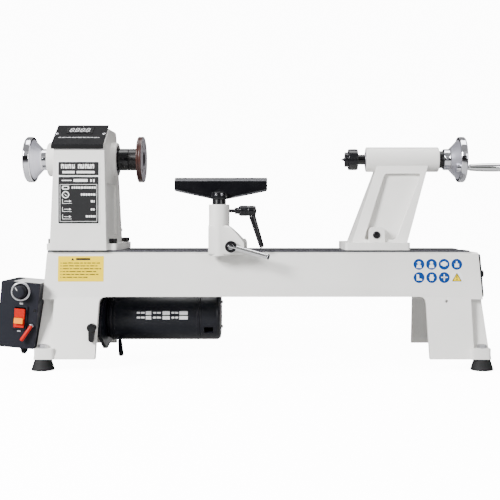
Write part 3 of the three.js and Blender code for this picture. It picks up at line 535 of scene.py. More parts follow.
def socket_screw(shape, axis, centre, r, base, top, slot=0):
    """A socket head with a hexagon recess. Stations run from base to top."""
    out = 1 if top > base else -1
    deep = top - out * min(abs(top - base) * 0.6, r * 0.9)
    profile = [(0, base), (r, base), (r, top - out * r * 0.12), (r * 0.9, top), (r * 0.54, top),
               (r * 0.54, deep),
               (0, deep)]
    return shape.turn(axis, centre, profile, 0, slot, 48, sides={4: 6, 5: 6})


def cross_screw(shape, place, r, slot=0, dark=1):
    """A domed cross-head screw that lies on the XY plane of a place matrix. Its cross recess is not cut: two
    thin black bars on the dome are painted shade that stands for it.
    """
    dome = [(0, r * 0.55), (r * 0.45, r * 0.5), (r * 0.85, r * 0.25), (r, 0), (r, -0.3), (0, -0.3)]
    shape.turn("z", (0, 0, 0), dome, 0.05, slot, 32, place=place)
    # Painted shade: black bars in place of the shadowed cross recess.
    for turn in (0.6, 0.6 + math.pi / 2):
        spun = place @ Matrix.Rotation(turn, 4, "Z")
        shape.box((-r * 0.55, -r * 0.09, r * 0.42), (r * 0.55, r * 0.09, r * 0.585), dark, spun)
    return shape


# ---------- bed ----------
Shape().cad("bed_casting").build("bed", "frame", "cast_paint", BED_MAT, 1.3, ["bed_casting"], 3)
Shape().cad("end_cover_plate").build("end_cover", "frame", "black_paint", BLACK_MAT, 0.7, ["end_cover_plate"])
cover_bolt = Shape().turn("x", (0, -50, 151), [(0, 334), (4, 334), (4, 357.4), (0, 357.4)], 0.3)
cover_bolt.turn("x", (0, -50, 151), [(0, 357.3), (6, 357.3), (6, 361.6), (5, 362.8), (2.8, 362.8), (2.8, 360),
                                     (0, 360)], 0, 0, 48, sides={4: 6, 5: 6})
cover_bolt.build("end_cover_screw", "frame", "black_paint", BLACK_MAT, 0.25, ["end_cover_bolt"])

for side_x, side_name in ((-350, "left"), (350, "right")):
    for side_y, row_name in ((-96, "front"), (96, "back")):
        foot = Shape().turn("z", (side_x, side_y, 0),
                            [(0, 0), (17.4, 0), (18.4, 1.5), (17.2, 5), (13.2, 17.6),
                                                      (0, 17.6)], 0.8)
        foot.turn("z", (side_x, side_y, 0), [(0, 17), (4, 17), (4, 34), (0, 34)], 0.4, 1)
        foot.build(f"rubber_foot_{row_name}_{side_name}", "frame", "rubber", [RUBBER_MAT, SCREW_MAT], 0,
                   [f"foot_{row_name}_{side_name}"])
        nut = Shape().turn("z", (side_x, side_y, 0),
                           [(4.3, 35.3), (7.6, 35.3), (7.6, 40.2), (7.1, 40.6), (4.3, 40.6)],
                           0, 0, 48, sides={1: 6, 2: 6, 3: 6})
        nut.build(f"foot_nut_{row_name}_{side_name}", "frame", "steel", SCREW_MAT, 0.3)


def bed_face(x, z):
    """The sheet on the sloping front of the beam, at a point of it."""
    return (Vector((x, -78 + (z - 115) * 4.5 / 69, z)), (1, 0, 0), (0, 4.5, 69))


label = Shape()
label_sheet = bed_face(-294.2, 160.2)
label.slab(label_sheet, rectangle(-37, -20.6, 37, 20.6), -0.1, 0.22, 0, 1.2)
label.slab(label_sheet, [(-16, 13.6), (-10.8, 13.6), (-13.4, 18)], 0.2, 0.3, 1)
label.slab(label_sheet, rectangle(-8, 14, 15, 17.4), 0.2, 0.3, 1, 0.4)
for row, width in enumerate((64, 60, 66, 58, 62, 44)):
    z = 8.6 - row * 4.6
    label.slab(label_sheet, rectangle(-33, z, -31.2, z + 1.5), 0.2, 0.28, 1, 0.3)
    words(label, label_sheet, -29.5, width - 33, z, 1.5, (4, 11), 1.2, 0.2, 0.28, 1, 0.3)
label.build("safety_label", "frame", "cast_paint", [PRINT_YELLOW, BLACK_PRINT_AND_RECESS_SHADE], 0)


def circle(cx, cy, r, count=32):
    return [(cx + r * math.cos(math.tau * k / count),
             cy + r * math.sin(math.tau * k / count)) for k in range(count)]


def pictogram(sheet, kind):
    """A blue disc with a generic white figure, or a yellow triangle with a black mark."""
    art = Shape()
    if kind == 7:
        art.slab(sheet, circle(0, 0, 9.9), -0.1, 0.14, 2)
        art.slab(sheet, [(-8.2, -6.2), (8.2, -6.2), (0, 8)], 0.12, 0.2, 3, 1.6)
        art.slab(sheet, [(-6.2, -5.1), (6.2, -5.1), (0, 5.7)], 0.19, 0.27, 1, 1.0)
        art.slab(sheet, [(-0.9, 3.4), (0.9, 3.4), (0.5, -1.6), (-0.5, -1.6)], 0.26, 0.32, 3)
        art.slab(sheet, circle(0, -3.2, 0.9, 12), 0.26, 0.32, 3)
    else:
        art.slab(sheet, circle(0, 0, 9.9), -0.1, 0.14, 2)
        art.slab(sheet, circle(0, 0, 8.9), 0.12, 0.2, 0)
        head = circle(0, 2.4, 2.5, 20)
        torso = [(-4.2, -6), (4.2, -6), (3.4, -1.2), (0, 0.4), (-3.4, -1.2)]
        figures = (
            [head, torso, rectangle(-3.2, 1.8, 3.2, 3.4)],
            [head, torso, rectangle(-2, -0.4, 2, 1.2)],
            [circle(0, 0.6, 4.2, 24), rectangle(-5.4, -1.8, -3.4, 2.6), rectangle(3.4, -1.8, 5.4, 2.6)],
            [rectangle(-3.6, -4.6, 3.6, 1.2), rectangle(-1.2, 1.2, 1.2, 5)],
            [[(-4, -4.6), (4.6, -4.6), (4.6, -2.2), (0, -1.4), (0, 5), (-4, 5)]],
            [[(-2.6, -5), (2.6, -5), (4.2, 1), (2.8, 1), (2.4, 5), (-2.4, 5), (-2.8, 1), (-4.2, 1)]],
            [circle(0, 0.4, 2.2, 20), rectangle(-5.4, -0.4, 5.4, 1.2), rectangle(-0.8, -5.4, 0.8, 5.6)],
        )
        for figure in figures[kind]:
            art.slab(sheet, figure, 0.19, 0.27, 2, 0.5)
    art.build(f"pictogram_{kind}", "frame", "cast_paint",
              [PRINT_BLUE, PRINT_YELLOW, PRINT_WHITE, BLACK_PRINT_AND_RECESS_SHADE], 0)


for number in range(8):
    column, row = number % 4, number // 4
    pictogram(bed_face(253 + column * 20.4, 167.5 - row * 21.4), number)

# ---------- headstock ----------
head = Shape().cad("headstock_casting")
head.turn("x", SPINDLE, [(21.2, -350), (21.2, -363), (27.5, -363), (28.55, -362), (28.55, -344)], 0.4)
head.turn("x", SPINDLE, [(23.7, -250), (23.7, -246), (27.5, -246), (28.55, -247), (28.55, -256)], 0.4)
head.build("headstock", "frame", "cast_paint", PAINT_MAT, 1.4, ["headstock_casting"], 3)

DOOR_HINGE = (0, 78.5, 222)
door = Shape().cad("belt_door")
door.turn("x", DOOR_HINGE, [(0, -334.05), (3.05, -334.05), (3.05, -260.95), (0, -260.95)], 0.3)
door.build("belt_access_door", "belt_cover", "cast_paint", PAINT_MAT, 0.7, ["belt_door"])
knob = Shape().turn("y", (-297.5, 0, 352), [(0, 51), (3, 51), (3, 55), (7, 57), (9, 62), (8.2, 68), (6.4, 70),
                                          (0, 70)], 1.0)
knob.build("belt_access_knob", "belt_cover", "black_plastic", PLASTIC_MAT, 0, ["belt_door_knob"])
hinge = Shape()
for x0, x1 in ((-343.6, -334.6), (-260.4, -252.6)):
    hinge.turn("x", DOOR_HINGE, [(0, x0), (2.6, x0), (2.6, x1), (0, x1)], 0.4)
hinge.build("belt_access_hinge_pins", "frame", "steel", SCREW_MAT, 0)

for x, y, name in ((-343.3, -64, "front_left"), (-343.3, 66, "back_left"), (-244.5, -60, "front_right"),
                   (-244.5, 66, "back_right")):
    bolt = Shape().turn("z", (x, y, 0), [(0, 176), (4, 176), (4, 201.6), (0, 201.6)], 0.3)
    socket_screw(bolt, "z", (x, y, 0), 6.5, 201.4, 209)
    bolt.build(f"head_bolt_{name}", "frame", "black_iron", IRON_MAT, 0.25, [f"headstock_bolt_{name}"])

PITCH = math.atan2(36.5, 52.5)
SLOPE_UP = (0, math.cos(PITCH), math.sin(PITCH))


def slope(x, y):
    """The sheet of the sloping display face, at a point of it."""
    return (Vector((x, y, 361 + (y + 83.5) * math.tan(PITCH))), (1, 0, 0), SLOPE_UP)


panel = Shape().cad("display_panel")
for x in (-337.6, -260.4):
    cross_screw(panel, sheet_matrix(slope(x, -55)), 2.9, 1, 2)
panel.slab(slope(-299, -46.5), rectangle(-24.4, -12.4, 20.4, 12.4), -0.3, 0.35, 3, 1)
words(panel, slope(0, -66), -333, -266, 0, 2.1, (2, 8), 1.1, -0.1, 0.12, 4, 0.4)
panel.build("display_cover", "frame", "black_paint",
            [PANEL_MAT, SCREW_MAT, BLACK_PRINT_AND_RECESS_SHADE, PANEL_MAT, PRINT_PALE], 0.35,
            ["display_panel"])

window = Shape()
face = slope(-301, -46.5)
window.slab(face, rectangle(-22, -10, 22, 10), 0.4, 1.15, 0, 1.2)
for digit in range(4):
    left = -16.6 + digit * 8.7
    lean = 0.16
    for u0, v0, u1, v1 in ((0, 0, 5, 0), (0, 5.4, 5, 5.4), (0, 10.8, 5, 10.8), (0, 0, 0, 5.4),
                           (0, 5.4, 0, 10.8),
                           (5, 0, 5, 5.4), (5, 5.4, 5, 10.8)):
        a = Vector((left + u0 + v0 * lean, v0 - 5.4))
        b = Vector((left + u1 + v1 * lean, v1 - 5.4))
        along = (b - a).normalized()
        side = Vector((-along.y, along.x)) * 0.62
        a, b = a + along * 0.5, b - along * 0.5
        tips = [a, a + along * 0.6 + side, b - along * 0.6 + side, b, b - along * 0.6 - side,
                a + along * 0.6 - side]
        window.slab(face, [tuple(p) for p in tips], 1.1, 1.19, 1)
    window.slab(face, circle(left + 6.9, -5.2, 0.5, 12), 1.1, 1.19, 1)
window.build("speed_display", "frame", "clear_lens", [LENS_MAT, DIGIT_MAT], 0, ["display_window"])

plate = Shape()
plate_sheet = (Vector((-296.75, -80.6, 283.2)), (1, 0, 0), (0, 0, 1))
plate.slab(plate_sheet, rectangle(-34.2, -51.4, 34.2, 51.6), 0, 0.55, 1, 2.6)
plate.slab(plate_sheet, rectangle(-32.4, -49.5, 32.4, 25.6), 0.5, 0.9, 0, 1.6)
plate.slab(plate_sheet, rectangle(-32.4, 28.2, 32.4, 49.6), 0.5, 0.9, 0, 1.6)
for k, shift in enumerate((0, 5.9, 11.8, 17.7, 27.4, 32.4, 38.3, 43.4, 48.6)):
    left = -28 + shift
    plate.slab(plate_sheet, rectangle(left, 39, left + 4.6, 46), 0.88, 0.98, 1, 0.8)
    plate.slab(plate_sheet, rectangle(left + 1.6, (39, 41.8)[k % 2], left + 3, (43.4, 46)[k % 2]), 0.95, 1.02,
               0)
for x0, x1, z0, z1 in ((-26, -6, 31.4, 35), (-3, 26, 31.4, 35), (-27, -11, 19, 20.6),
                       (-8, 15, 17.6, 22), (19, 21.6, 17.4, 21.8), (23.6, 26.2, 17.4, 21.8)):
    plate.slab(plate_sheet, rectangle(x0, z0, x1, z1), 0.88, 0.98, 1, 0.5)
for x0, z0, x1, z1 in ((-30, -46.6, 30, -46), (-30, 13, 30, 13.6), (-30, -46.6, -29.4, 13.6),
                       (29.4, -46.6, 30, 13.6)):
    plate.slab(plate_sheet, rectangle(x0, z0, x1, z1), 0.88, 0.98, 1)
plate.slab(plate_sheet, rectangle(-26.6, 5, -15, 11.2), 0.88, 0.96, 1, 2.6)
plate.slab(plate_sheet, rectangle(-24.6, 6.6, -17, 9.6), 0.95, 1.0, 0, 1.2)
plate.slab(plate_sheet, circle(-20.8, -3.2, 5.8), 0.88, 0.96, 1)
plate.slab(plate_sheet, circle(-20.8, -3.2, 4.2), 0.95, 1.0, 0)
plate.slab(plate_sheet, [(-23, -1.4), (-19.4, -3.8), (-18.6, -5.4), (-21, -4.6)], 0.98, 1.03, 1)
for z0 in (-17, -30, -42):
    plate.slab(plate_sheet, rectangle(-26, z0, -25.2, z0 + 7), 0.88, 0.96, 1)
    plate.slab(plate_sheet, rectangle(-26, z0 - 0.6, -11, z0), 0.88, 0.96, 1)
    plate.slab(plate_sheet, rectangle(-23, z0 + 3, -15, z0 + 3.8), 0.88, 0.96, 1)
    plate.slab(plate_sheet, [(-15, z0 + 1.6), (-11.4, z0 + 3.4), (-15, z0 + 5.2)], 0.88, 0.96, 1)
for x0, x1, z in ((-11, 28, 6.6), (4, 28, -4.6), (20, 26, -15.6), (20, 26, -28.6), (12, 28, -39.8)):
    words(plate, plate_sheet, x0, x1, z, 3.4, (2, 4.6), 0.9, 0.88, 0.98, 1, 0.4)
plate.build("data_plate", "frame", "black_paint", [BLACK_PRINT_AND_RECESS_SHADE, PRINT_WHITE], 0, ["nameplate"])

for name, inner, outer, low, high in (("left", 10, 21, -362.5, -350.5),
                                      ("right", 12.5, 23.5, -259.6, -247.6)):
    ring = Shape()
    width = outer - inner
    ring.turn("x", SPINDLE,
              [(outer - width * 0.28, low), (outer, low), (outer, high), (outer - width * 0.28, high),
                             (outer - width * 0.28, low)], 0.4)
    ring.turn("x", SPINDLE,
              [(inner, low), (inner + width * 0.28, low), (inner + width * 0.28, high), (inner, high),
                             (inner, low)], 0.4)
    ring.turn("x", SPINDLE, [(inner + width * 0.25, low + 0.9), (outer - width * 0.25, low + 0.9),
                             (outer - width * 0.25, high - 0.9), (inner + width * 0.25, high - 0.9),
                             (inner + width * 0.25, low + 0.9)], 0.2, 1)
    ring.build(f"ball_bearing_{name}", "frame", "steel", [STEEL_MAT, RUBBER_MAT], 0,
               [f"spindle_bearing_{name}"])

# ---------- spindle line ----------
shaft = Shape().turn("x", SPINDLE, [
    (5, -398), (9.2, -398), (9.7, -397.4), (9.7, -336), (12, -336), (12, -262), (12.2, -262), (12.2, -245.4),
    (18.5, -245.4), (18.5, -227.4), (12.4, -227.4), (12.4, -211), (8.9, -211), (5, -250), (5, -398)], 0.5)
for k in range(8):
    at = -226.4 + k * 1.9
    shaft.turn("x", SPINDLE, [(12.2, at), (12.6, at + 0.5), (12.2, at + 1)], 0)
socket_screw(shaft, "y", (-236.5, 0, AXIS_Z), 2.1, -17.4, -18.62)
shaft.build("spindle_shaft", "spindle_line", "black_iron", IRON_MAT, 0, ["spindle"])


def grooved_steps(radii, bore):
    """A stepped pulley for a ribbed belt: a flange and a grooved land for each step."""
    line = [(bore, -325)]
    for i, radius in enumerate(radii):
        at = -325 + i * 14
        line += [(radius + 1.2, at), (radius + 1.2, at + 1), (radius, at + 1.6)]
        for k in range(5):
            groove = at + 2.2 + k * 2.25
            line += [(radius, groove), (radius - 1.0, groove + 0.9), (radius - 1.0, groove + 1.2),
                     (radius, groove + 2.1)]
        line.append((radius, at + 14))
    return line + [(bore, -283), (bore, -325)]


pulley = Shape().turn("x", SPINDLE, grooved_steps((36, 28, 20), 12.3), 0.15)
pulley.build("spindle_step_pulley", "spindle_line", "aluminium", ALU_MAT, 0, ["spindle_pulley"])

disc = Shape().turn("x", SPINDLE, [
    (12.7, -227), (18.5, -227), (18.5, -211.5), (38, -211.5), (39, -210.5), (39, -207.9), (38.4, -207.7),
    (38.4, -206.4), (39, -206.2), (39, -203.1), (38.2, -202.3), (13.6, -202.3), (12.7, -203.2), (12.7,
        -227)], 0.4)
disc = disc.build("face_plate", "spindle_line", "russet_iron", FACE_MAT, 0, ["faceplate"])
holes = Shape()
for degrees in (45, 135, 225, 315):
    angle = math.radians(degrees)
    at = (0, 29 * math.cos(angle), AXIS_Z + 29 * math.sin(angle))
    holes.turn("x", at, [(0, -214), (2.6, -214), (2.6, -204.6), (5, -202), (0, -202)], 0, 0, 32)
carve(disc, holes)


def wheel_profile(bore, hub_start, out):
    return [(r, hub_start + out * s) for r, s in (
        (bore, 0), (17.5, 0), (18, 0.8), (18, 9), (34, 24.5), (37.6, 24.5), (38.75, 26), (38.75, 34), (37.2,
            36),
        (33, 36), (31.5, 34), (30.5, 29), (16, 17), (15, 30), (bore, 30), (bore, 0))]


wheel = Shape().turn("x", SPINDLE, wheel_profile(10, -364, -1), 0.8, 0, 128)
socket_screw(wheel, "y", (-368.6, 0, AXIS_Z), 2.2, -17.2, -18.06, 1)
wheel.build("outboard_handwheel", "spindle_line", "aluminium", [ALU_MAT, IRON_MAT], 0, ["spindle_handwheel"])


def belt_loop(growth, count=48):
    """Points round both middle steps of the pulleys, in Y and Z."""
    upper, lower = (0.0, AXIS_Z, 28 + growth), (15.0, 76.0, 22 + growth)
    heading = math.atan2(upper[1] - lower[1], upper[0] - lower[0])
    spread = math.acos((lower[2] - upper[2]) / math.dist(upper[:2], lower[:2]))
    points = []
    for (y, z, r), a, b in ((upper, heading - spread, heading + spread),
                            (lower, heading + spread, heading - spread + math.tau)):
        points += [(y + r * math.cos(a + (b - a) * k / count), z + r * math.sin(a + (b - a) * k / count))
                   for k in range(count + 1)]
    return points


belt = Shape()
section = [(-308.8, 3.3), (-299.2, 3.3), (-299.2, 1.7)]
for k in range(4):
    at = -299.2 - k * 2.4
    section += [(at - 0.3, 0.4), (at - 0.9, 0.4), (at - 1.5, 1.5)]
section += [(-308.8, 1.7)]
loops = [belt_loop(growth) for _, growth in section]
ring_count, across = len(loops[0]), len(section)
belt.shell([(section[j][0], *loops[j][i]) for i in range(ring_count) for j in range(across)],
           [(i * across + j, i * across + (j + 1) % across, (i + 1) % ring_count * across + (j + 1) % across,
             (i + 1) % ring_count * across + j) for i in range(ring_count) for j in range(across)])
belt = belt.build("ribbed_belt", "frame", "rubber", RUBBER_MAT, 0, ["drive_belt"])
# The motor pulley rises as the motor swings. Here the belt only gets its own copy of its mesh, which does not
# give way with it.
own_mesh(belt)

# ---------- motor ----------
NOTCH_ANGLE = 122
can = Shape().turn("x", MOTOR, [(37, -253), (41, -253), (41, -106), (37, -106), (37, -253)], 0.5)
for x in (-249.5, -110.5):
    can.turn("x", MOTOR, [(40.9, x - 1.4), (41.25, x - 0.9), (41.25, x + 0.9), (40.9, x + 1.4)], 0.2)


def on_can(shape, x0, x1, low, high, lift, slot):
    """A printed patch that follows the can, between two angles below the front, in degrees."""
    steps = max(2, int(abs(high - low) / 3))
    rows = []
    for reach in (40.9, 41 + lift):
        for k in range(steps + 1):
            angle = math.radians(180 + low + (high - low) * k / steps)
            rows.append((15 + reach * math.cos(angle), 76 + reach * math.sin(angle)))
    count = steps + 1
    vertices = [(x, y, z) for x in (x0, x1) for y, z in rows]
    faces = []
    for k in range(steps):
        faces.append((count + k, count + k + 1, 3 * count + k + 1, 3 * count + k))
    for a, b in ((count, count + steps), (3 * count, 3 * count + steps)):
        faces.append(tuple(range(a, b + 1)) + tuple(range(b - count, a - count - 1, -1)))
    for k in (0, steps):
        faces.append((k, count + k, 3 * count + k, 2 * count + k))
    shape.shell(vertices, faces, slot)


for low, high in ((-15, -7), (-4, 4)):
    for x0, x1 in ((-196, -187), (-168, -156), (-140, -126)):
        on_can(can, x0, x1, low, high, 0.12, 1)
    for x0, x1 in ((-211, -205.5), (-204, -198), (-184, -179), (-177.5, -171), (-153, -148.5), (-147, -142)):
        on_can(can, x0, x1, low + 1.6, high - 2.4, 0.12, 1)
can.build("motor_shell", "motor", "black_paint", [BLACK_MAT, PRINT_WHITE], 0, ["motor_can"])

bell = Shape().turn("x", MOTOR, [
    (8.5, -263.1), (36, -263.1), (38, -261), (38, -258), (41, -257.5), (41, -253.3), (36.7, -253.3), (36.7,
        -256.5),
    (8.5, -256.5), (8.5, -263.1)], 0.6)
bell.build("motor_front_cap", "motor", "black_paint", BLACK_MAT, 0, ["motor_front_bell"])
cap = Shape().turn("x", MOTOR, [
    (0, -88), (7.3, -88), (7.3, -97), (14, -97), (14, -84), (36.5, -84), (36.5, -105.7), (41, -105.7), (41,
        -78),
    (39.6, -74.6), (37, -72.5), (12, -72), (0, -72)], 0.8)
cap = cap.build("motor_rear_cap", "motor", "black_paint", BLACK_MAT, 0, ["motor_rear_bell"])
vents = Shape()
spin = Matrix.Translation(MOTOR) @ Matrix.Rotation(math.radians(NOTCH_ANGLE), 4, "X")
vents.box((-99, -6, 33), (-84, 6, 44), 0, spin)
carve(cap, vents)
caps = Shape()
for k in range(4):
    angle = math.tau * (k + 0.5) / 4
    at = (0, 15 + 30 * math.cos(angle), 76 + 30 * math.sin(angle))
    socket_screw(caps, "x", at, 2.6, -72.4, -70.2)
caps.build("motor_cap_screws", "motor", "steel", SCREW_MAT, 0.1)

Shape().cad("motor_plate").build("motor_mount_plate", "motor", "black_paint", BLACK_MAT, 0.8, ["motor_plate"])
MOTOR_PIVOT = (0, 56, 100)
pivot = Shape().turn("x", MOTOR_PIVOT, [(0, -288), (4, -288), (4, -263), (0, -263)], 0.3)
pivot.turn("x", MOTOR_PIVOT, [(0, -263), (7, -263), (7, -258.6), (6.3, -258), (0, -258)], 0, 0, 48,
           sides={1: 6, 2: 6, 3: 6})
pivot.build("motor_pivot", "motor", "steel", SCREW_MAT, 0.2, ["motor_pivot_bolt"])
core = Shape().turn("x", MOTOR, [(0, -330), (6.4, -330), (7, -329.4), (7, -90), (0, -90)], 0.3)
core.turn("x", MOTOR, [(7, -237), (31, -237), (31, -132), (7, -132)], 0.6)
core.turn("x", MOTOR, [(7, -124), (17, -124), (17, -110), (7, -110)], 0.5, 1)
core.turn("x", MOTOR, [(7, -132), (10, -132), (10, -124), (7, -124)], 0.2)
core.build("motor_rotor", "rotor", "steel", [MOTOR_STEEL_MAT, ALU_PLAIN_MAT], 0, ["motor_armature"])
small = Shape().turn("x", MOTOR, grooved_steps((14, 22, 30), 7.3), 0.15)
small.build("motor_step_pulley", "rotor", "aluminium", ALU_PLAIN_MAT, 0, ["motor_pulley"])

MOTOR_LOCK = (-271.5, 0, 68)
lock = Shape().turn("y", MOTOR_LOCK, [(0, -104), (2.9, -104), (2.9, -74.4), (1.9, -73.4), (0, -73.4)], 0.3, 1)
lock.turn("y", MOTOR_LOCK, [(0, -108), (6.2, -108), (7, -107.2), (7, -96.6), (0, -96.6)], 0.5)
lock.prism("y", -106, -100, [(-276.5, 70, 3), (-276.1, 46, 3.5), (-267.9, 44.5, 3.5), (-265.5, 68, 3)], 0)
lock.build("motor_lock_handle", "motor_lock", "black_iron", [IRON_MAT, STEEL_PLAIN_MAT], 0.6,
           ["motor_lock_lever"])
grip = Shape().bar((-244, 2, 35), (-238, -20, 13), 3.4, 4.3)
grip.build("belt_tension_grip", "motor", "black_paint", BLACK_MAT, 0, ["tension_handle"])

# ---------- control box ----------
TILT = math.radians(5.2)
BOX_PLACE = Matrix.Translation((-425 + (61.5 * math.cos(TILT) + 105 * math.sin(TILT)) / 2, 0, 88))
BOX_PLACE = BOX_PLACE @ Matrix.Rotation(TILT, 4, "Y")
housing = Shape().cad("control_box_housing")
housing.build("control_housing", "frame", "black_plastic", PLASTIC_MAT, 0.9, ["control_box_housing"], 3)
lid = Shape(BOX_PLACE)
lid.prism("z", 52.5, 52.62, rectangle(-13, -92, 29.5, -8), 1.5, 0)
lid.build("blank_sticker", "frame", "black_plastic", PRINT_WHITE, 0)
fascia = Shape().cad("control_box_panel")
fascia.build("control_fascia", "frame", "black_plastic", PLASTIC_MAT, 0.7, ["control_box_panel"], 3)
FRONT = BOX_PLACE @ Matrix.Translation((0, -99, 0)) @ Matrix.Rotation(math.pi / 2, 4, "X")
trim = Shape()
cross_screw(trim, FRONT @ Matrix.Translation((26.4, 9, 0)), 2.4, 0, 1)
trim.prism("z", -0.1, 0.5, rectangle(1.2, 17.2, 6.8, 19.9), 0.6, 2, place=FRONT)
trim.prism("z", -0.1, 0.5, rectangle(1.2, -26.4, 6.8, -24.2), 0.6, 2, place=FRONT)
trim.build("control_fascia_marks", "frame", "black_plastic", [IRON_MAT, BLACK_PRINT_AND_RECESS_SHADE, PRINT_GREY], 0)

dial_place = FRONT @ Matrix.Translation((1.4, 37.5, 0))
dial = Shape()
dial.turn("z", (0, 0, 0), [(12, 0.3), (15.6, 0.3), (15.6, 1.6), (14.4, 3), (12.6, 3), (12, 2.4), (12, 0.3)],
          0.5,
          place=dial_place)
for k in range(21):
    spun = dial_place @ Matrix.Rotation(math.radians(-135 + 13.5 * k), 4, "Z")
    dial.box((-0.14, 12.7, 2.9), (0.14, 14.2, 3.0), 1, spun)
dial.build("speed_dial", "frame", "aluminium", [ALU_PLAIN_MAT, BLACK_PRINT_AND_RECESS_SHADE], 0, ["speed_dial_ring"])
turner = Shape()
turner.turn("z", (0, 0, 0), [(0, -9), (3.9, -9), (3.9, 3.6), (10.8, 3.6), (10.6, 5), (9.6, 14.5), (8.6, 15.4),
                             (0, 15.45)], 0.8, place=dial_place)
for k in range(24):
    spun = dial_place @ Matrix.Rotation(math.tau * k / 24, 4, "Z")
    turner.prism("y", 9.3, 10.7, [(-0.5, 4.6), (0.5, 4.6), (0.4, 13), (-0.4, 13)], 0, 0, place=spun)
POINTER = dial_place @ Matrix.Rotation(math.radians(38), 4, "Z")
turner.prism("z", 5, 15.3, [(-1.3, -9.4), (1.3, -9.4), (1.3, 9.4), (0, 10.6), (-1.3, 9.4)], 0.4, 0,
             place=POINTER)
turner.prism("z", 15.25, 15.46, rectangle(-0.45, 3, 0.45, 9), 0.2, 1, place=POINTER)
turner.build("speed_knob_cap", "speed_control", "black_plastic", [PLASTIC_MAT, PRINT_WHITE], 0,
             ["speed_knob"])

Shape().cad("switch_frame").build("switch_bezel", "frame", "black_plastic", PLASTIC_MAT, 0.5,
                                  ["switch_frame"])
Shape().cad("switch_paddle").build("rocker_paddle", "paddle", "red_plastic", RED_MAT, 0.5, ["switch_paddle"],
                                   3)
Shape().cad("safety_key").build("switch_key", "key", "yellow_plastic", YELLOW_MAT, 0.5, ["safety_key"], 3)
stick = Shape(BOX_PLACE)
stick.turn("y", (24, 0, -15), [(0, -103), (3, -103), (3, -90), (0, -90)], 0.4, 1)
stick.bar((24, -103.5, -15), (11, -106.1, -39), 2.7, 3.1)
stick.build("toggle_sleeve", "toggle", "red_plastic", [RED_MAT, STEEL_PLAIN_MAT], 0, ["direction_toggle"])
gland = Shape(BOX_PLACE)
gland.turn("z", (0, -40, 0), [(0, -70), (3, -70), (5.2, -66), (7.4, -58.4), (7.4, -57), (0, -57)], 0.8)
gland.turn("z", (0, -40, 0), [(0, -57.2), (7.5, -57.2), (7.5, -53), (0, -53)], 0, 0, 48, sides={1: 6, 2: 6})
gland.turn("z", (0, -40, 0), [(0, -53.4), (5, -53.4), (5, -46), (0, -46)], 0.3)
for k in range(4):
    gland.turn("z", (0, -40, 0), [(5.0 + k * 0.55, -66.2 + k * 2), (5.9 + k * 0.5, -65.6 + k * 2),
                                  (5.3 + k * 0.55, -65 + k * 2)], 0.2)
gland.build("cord_entry_gland", "frame", "black_plastic", PLASTIC_MAT, 0.2, ["cord_gland"])

# ---------- banjo and tool rest ----------
# The tool rest post stands at CX, CY.
CX, CY = -69.5, -88
BANJO_CAM = (-49.8, 0, 197)
RATCHET = (0, CY, 254)
ROD_START, ROD_END = (-55.8, -109.6, 199), (10, -109.6, 180.6)
banjo = Shape().cad("banjo_casting")
banjo.turn("z", (CX, CY, 0), [(11.35, 250), (11.35, 264), (15.6, 264), (16.54, 263), (16.54, 232)], 0.4)
banjo.turn("y", BANJO_CAM, [(5.85, -90), (5.85, -104), (9.4, -104), (10.04, -103.3), (10.04, -98)], 0.3)
banjo.build("banjo_body", "banjo", "cast_paint", PAINT_MAT, 1.6, ["banjo_casting"], 3)

cam = Shape().turn("y", BANJO_CAM, [(0, -113.4), (8.4, -113.4), (9.4, -112.4), (9.4, -104.4), (5.5, -104.4),
                                          (5.5, 58), (0, 58)], 0.4, 2)
cam.bar(ROD_START, ROD_END, 4.1, 4.1)
heading = (Vector(ROD_END) - Vector(ROD_START)).normalized()
turn_end = Matrix.Translation(Vector(ROD_END) + heading * 0.6) @ heading.to_track_quat("Z",
    "Y").to_matrix().to_4x4()
cam.turn("z", (0, 0, 0), [(0, -2.4), (4.14, -2.4), (4.14, -0.5), (3.5, 0.7), (0, 0.9)], 0.15, 1, 40,
         place=turn_end)
cam.turn("y", BANJO_CAM, [(0, -113.5), (4.6, -113.5), (4.6, -113.2), (0, -113.2)], 0.1, 0, 40)
cam.build("banjo_lever", "banjo_cam", "chrome", [CHROME_MAT, PLASTIC_MAT, IRON_MAT], 0, ["banjo_cam_lever"])


def eye_bolt(name, body, node, x, z, half, outer, inner, low, high, shank):
    eye = Shape().turn("y", (x, 0, z),
                       [(inner, -half), (outer, -half), (outer, half), (inner, half), (inner, -half)],
                       0.5)
    eye.turn("z", (x, 0, 0), [(0, low), (shank, low), (shank, z - inner - 0.6), (0, z - inner - 0.6)], 0.3)
    for k in range(int((high + 12 - low) / 1.5)):
        at = low + 0.6 + k * 1.5
        eye.turn("z", (x, 0, 0), [(shank - 0.1, at), (shank + 0.12, at + 0.5), (shank - 0.1, at + 1)], 0)
    eye.turn("z", (x, 0, 0), [(shank, low), (shank * 1.7, low), (shank * 1.8, low + 0.6), (shank * 1.8, high),
                              (shank, high)], 0, 0, 48, sides={1: 6, 2: 6, 3: 6})
    eye.build(name, body, "steel", SCREW_MAT, 0.15, [node])


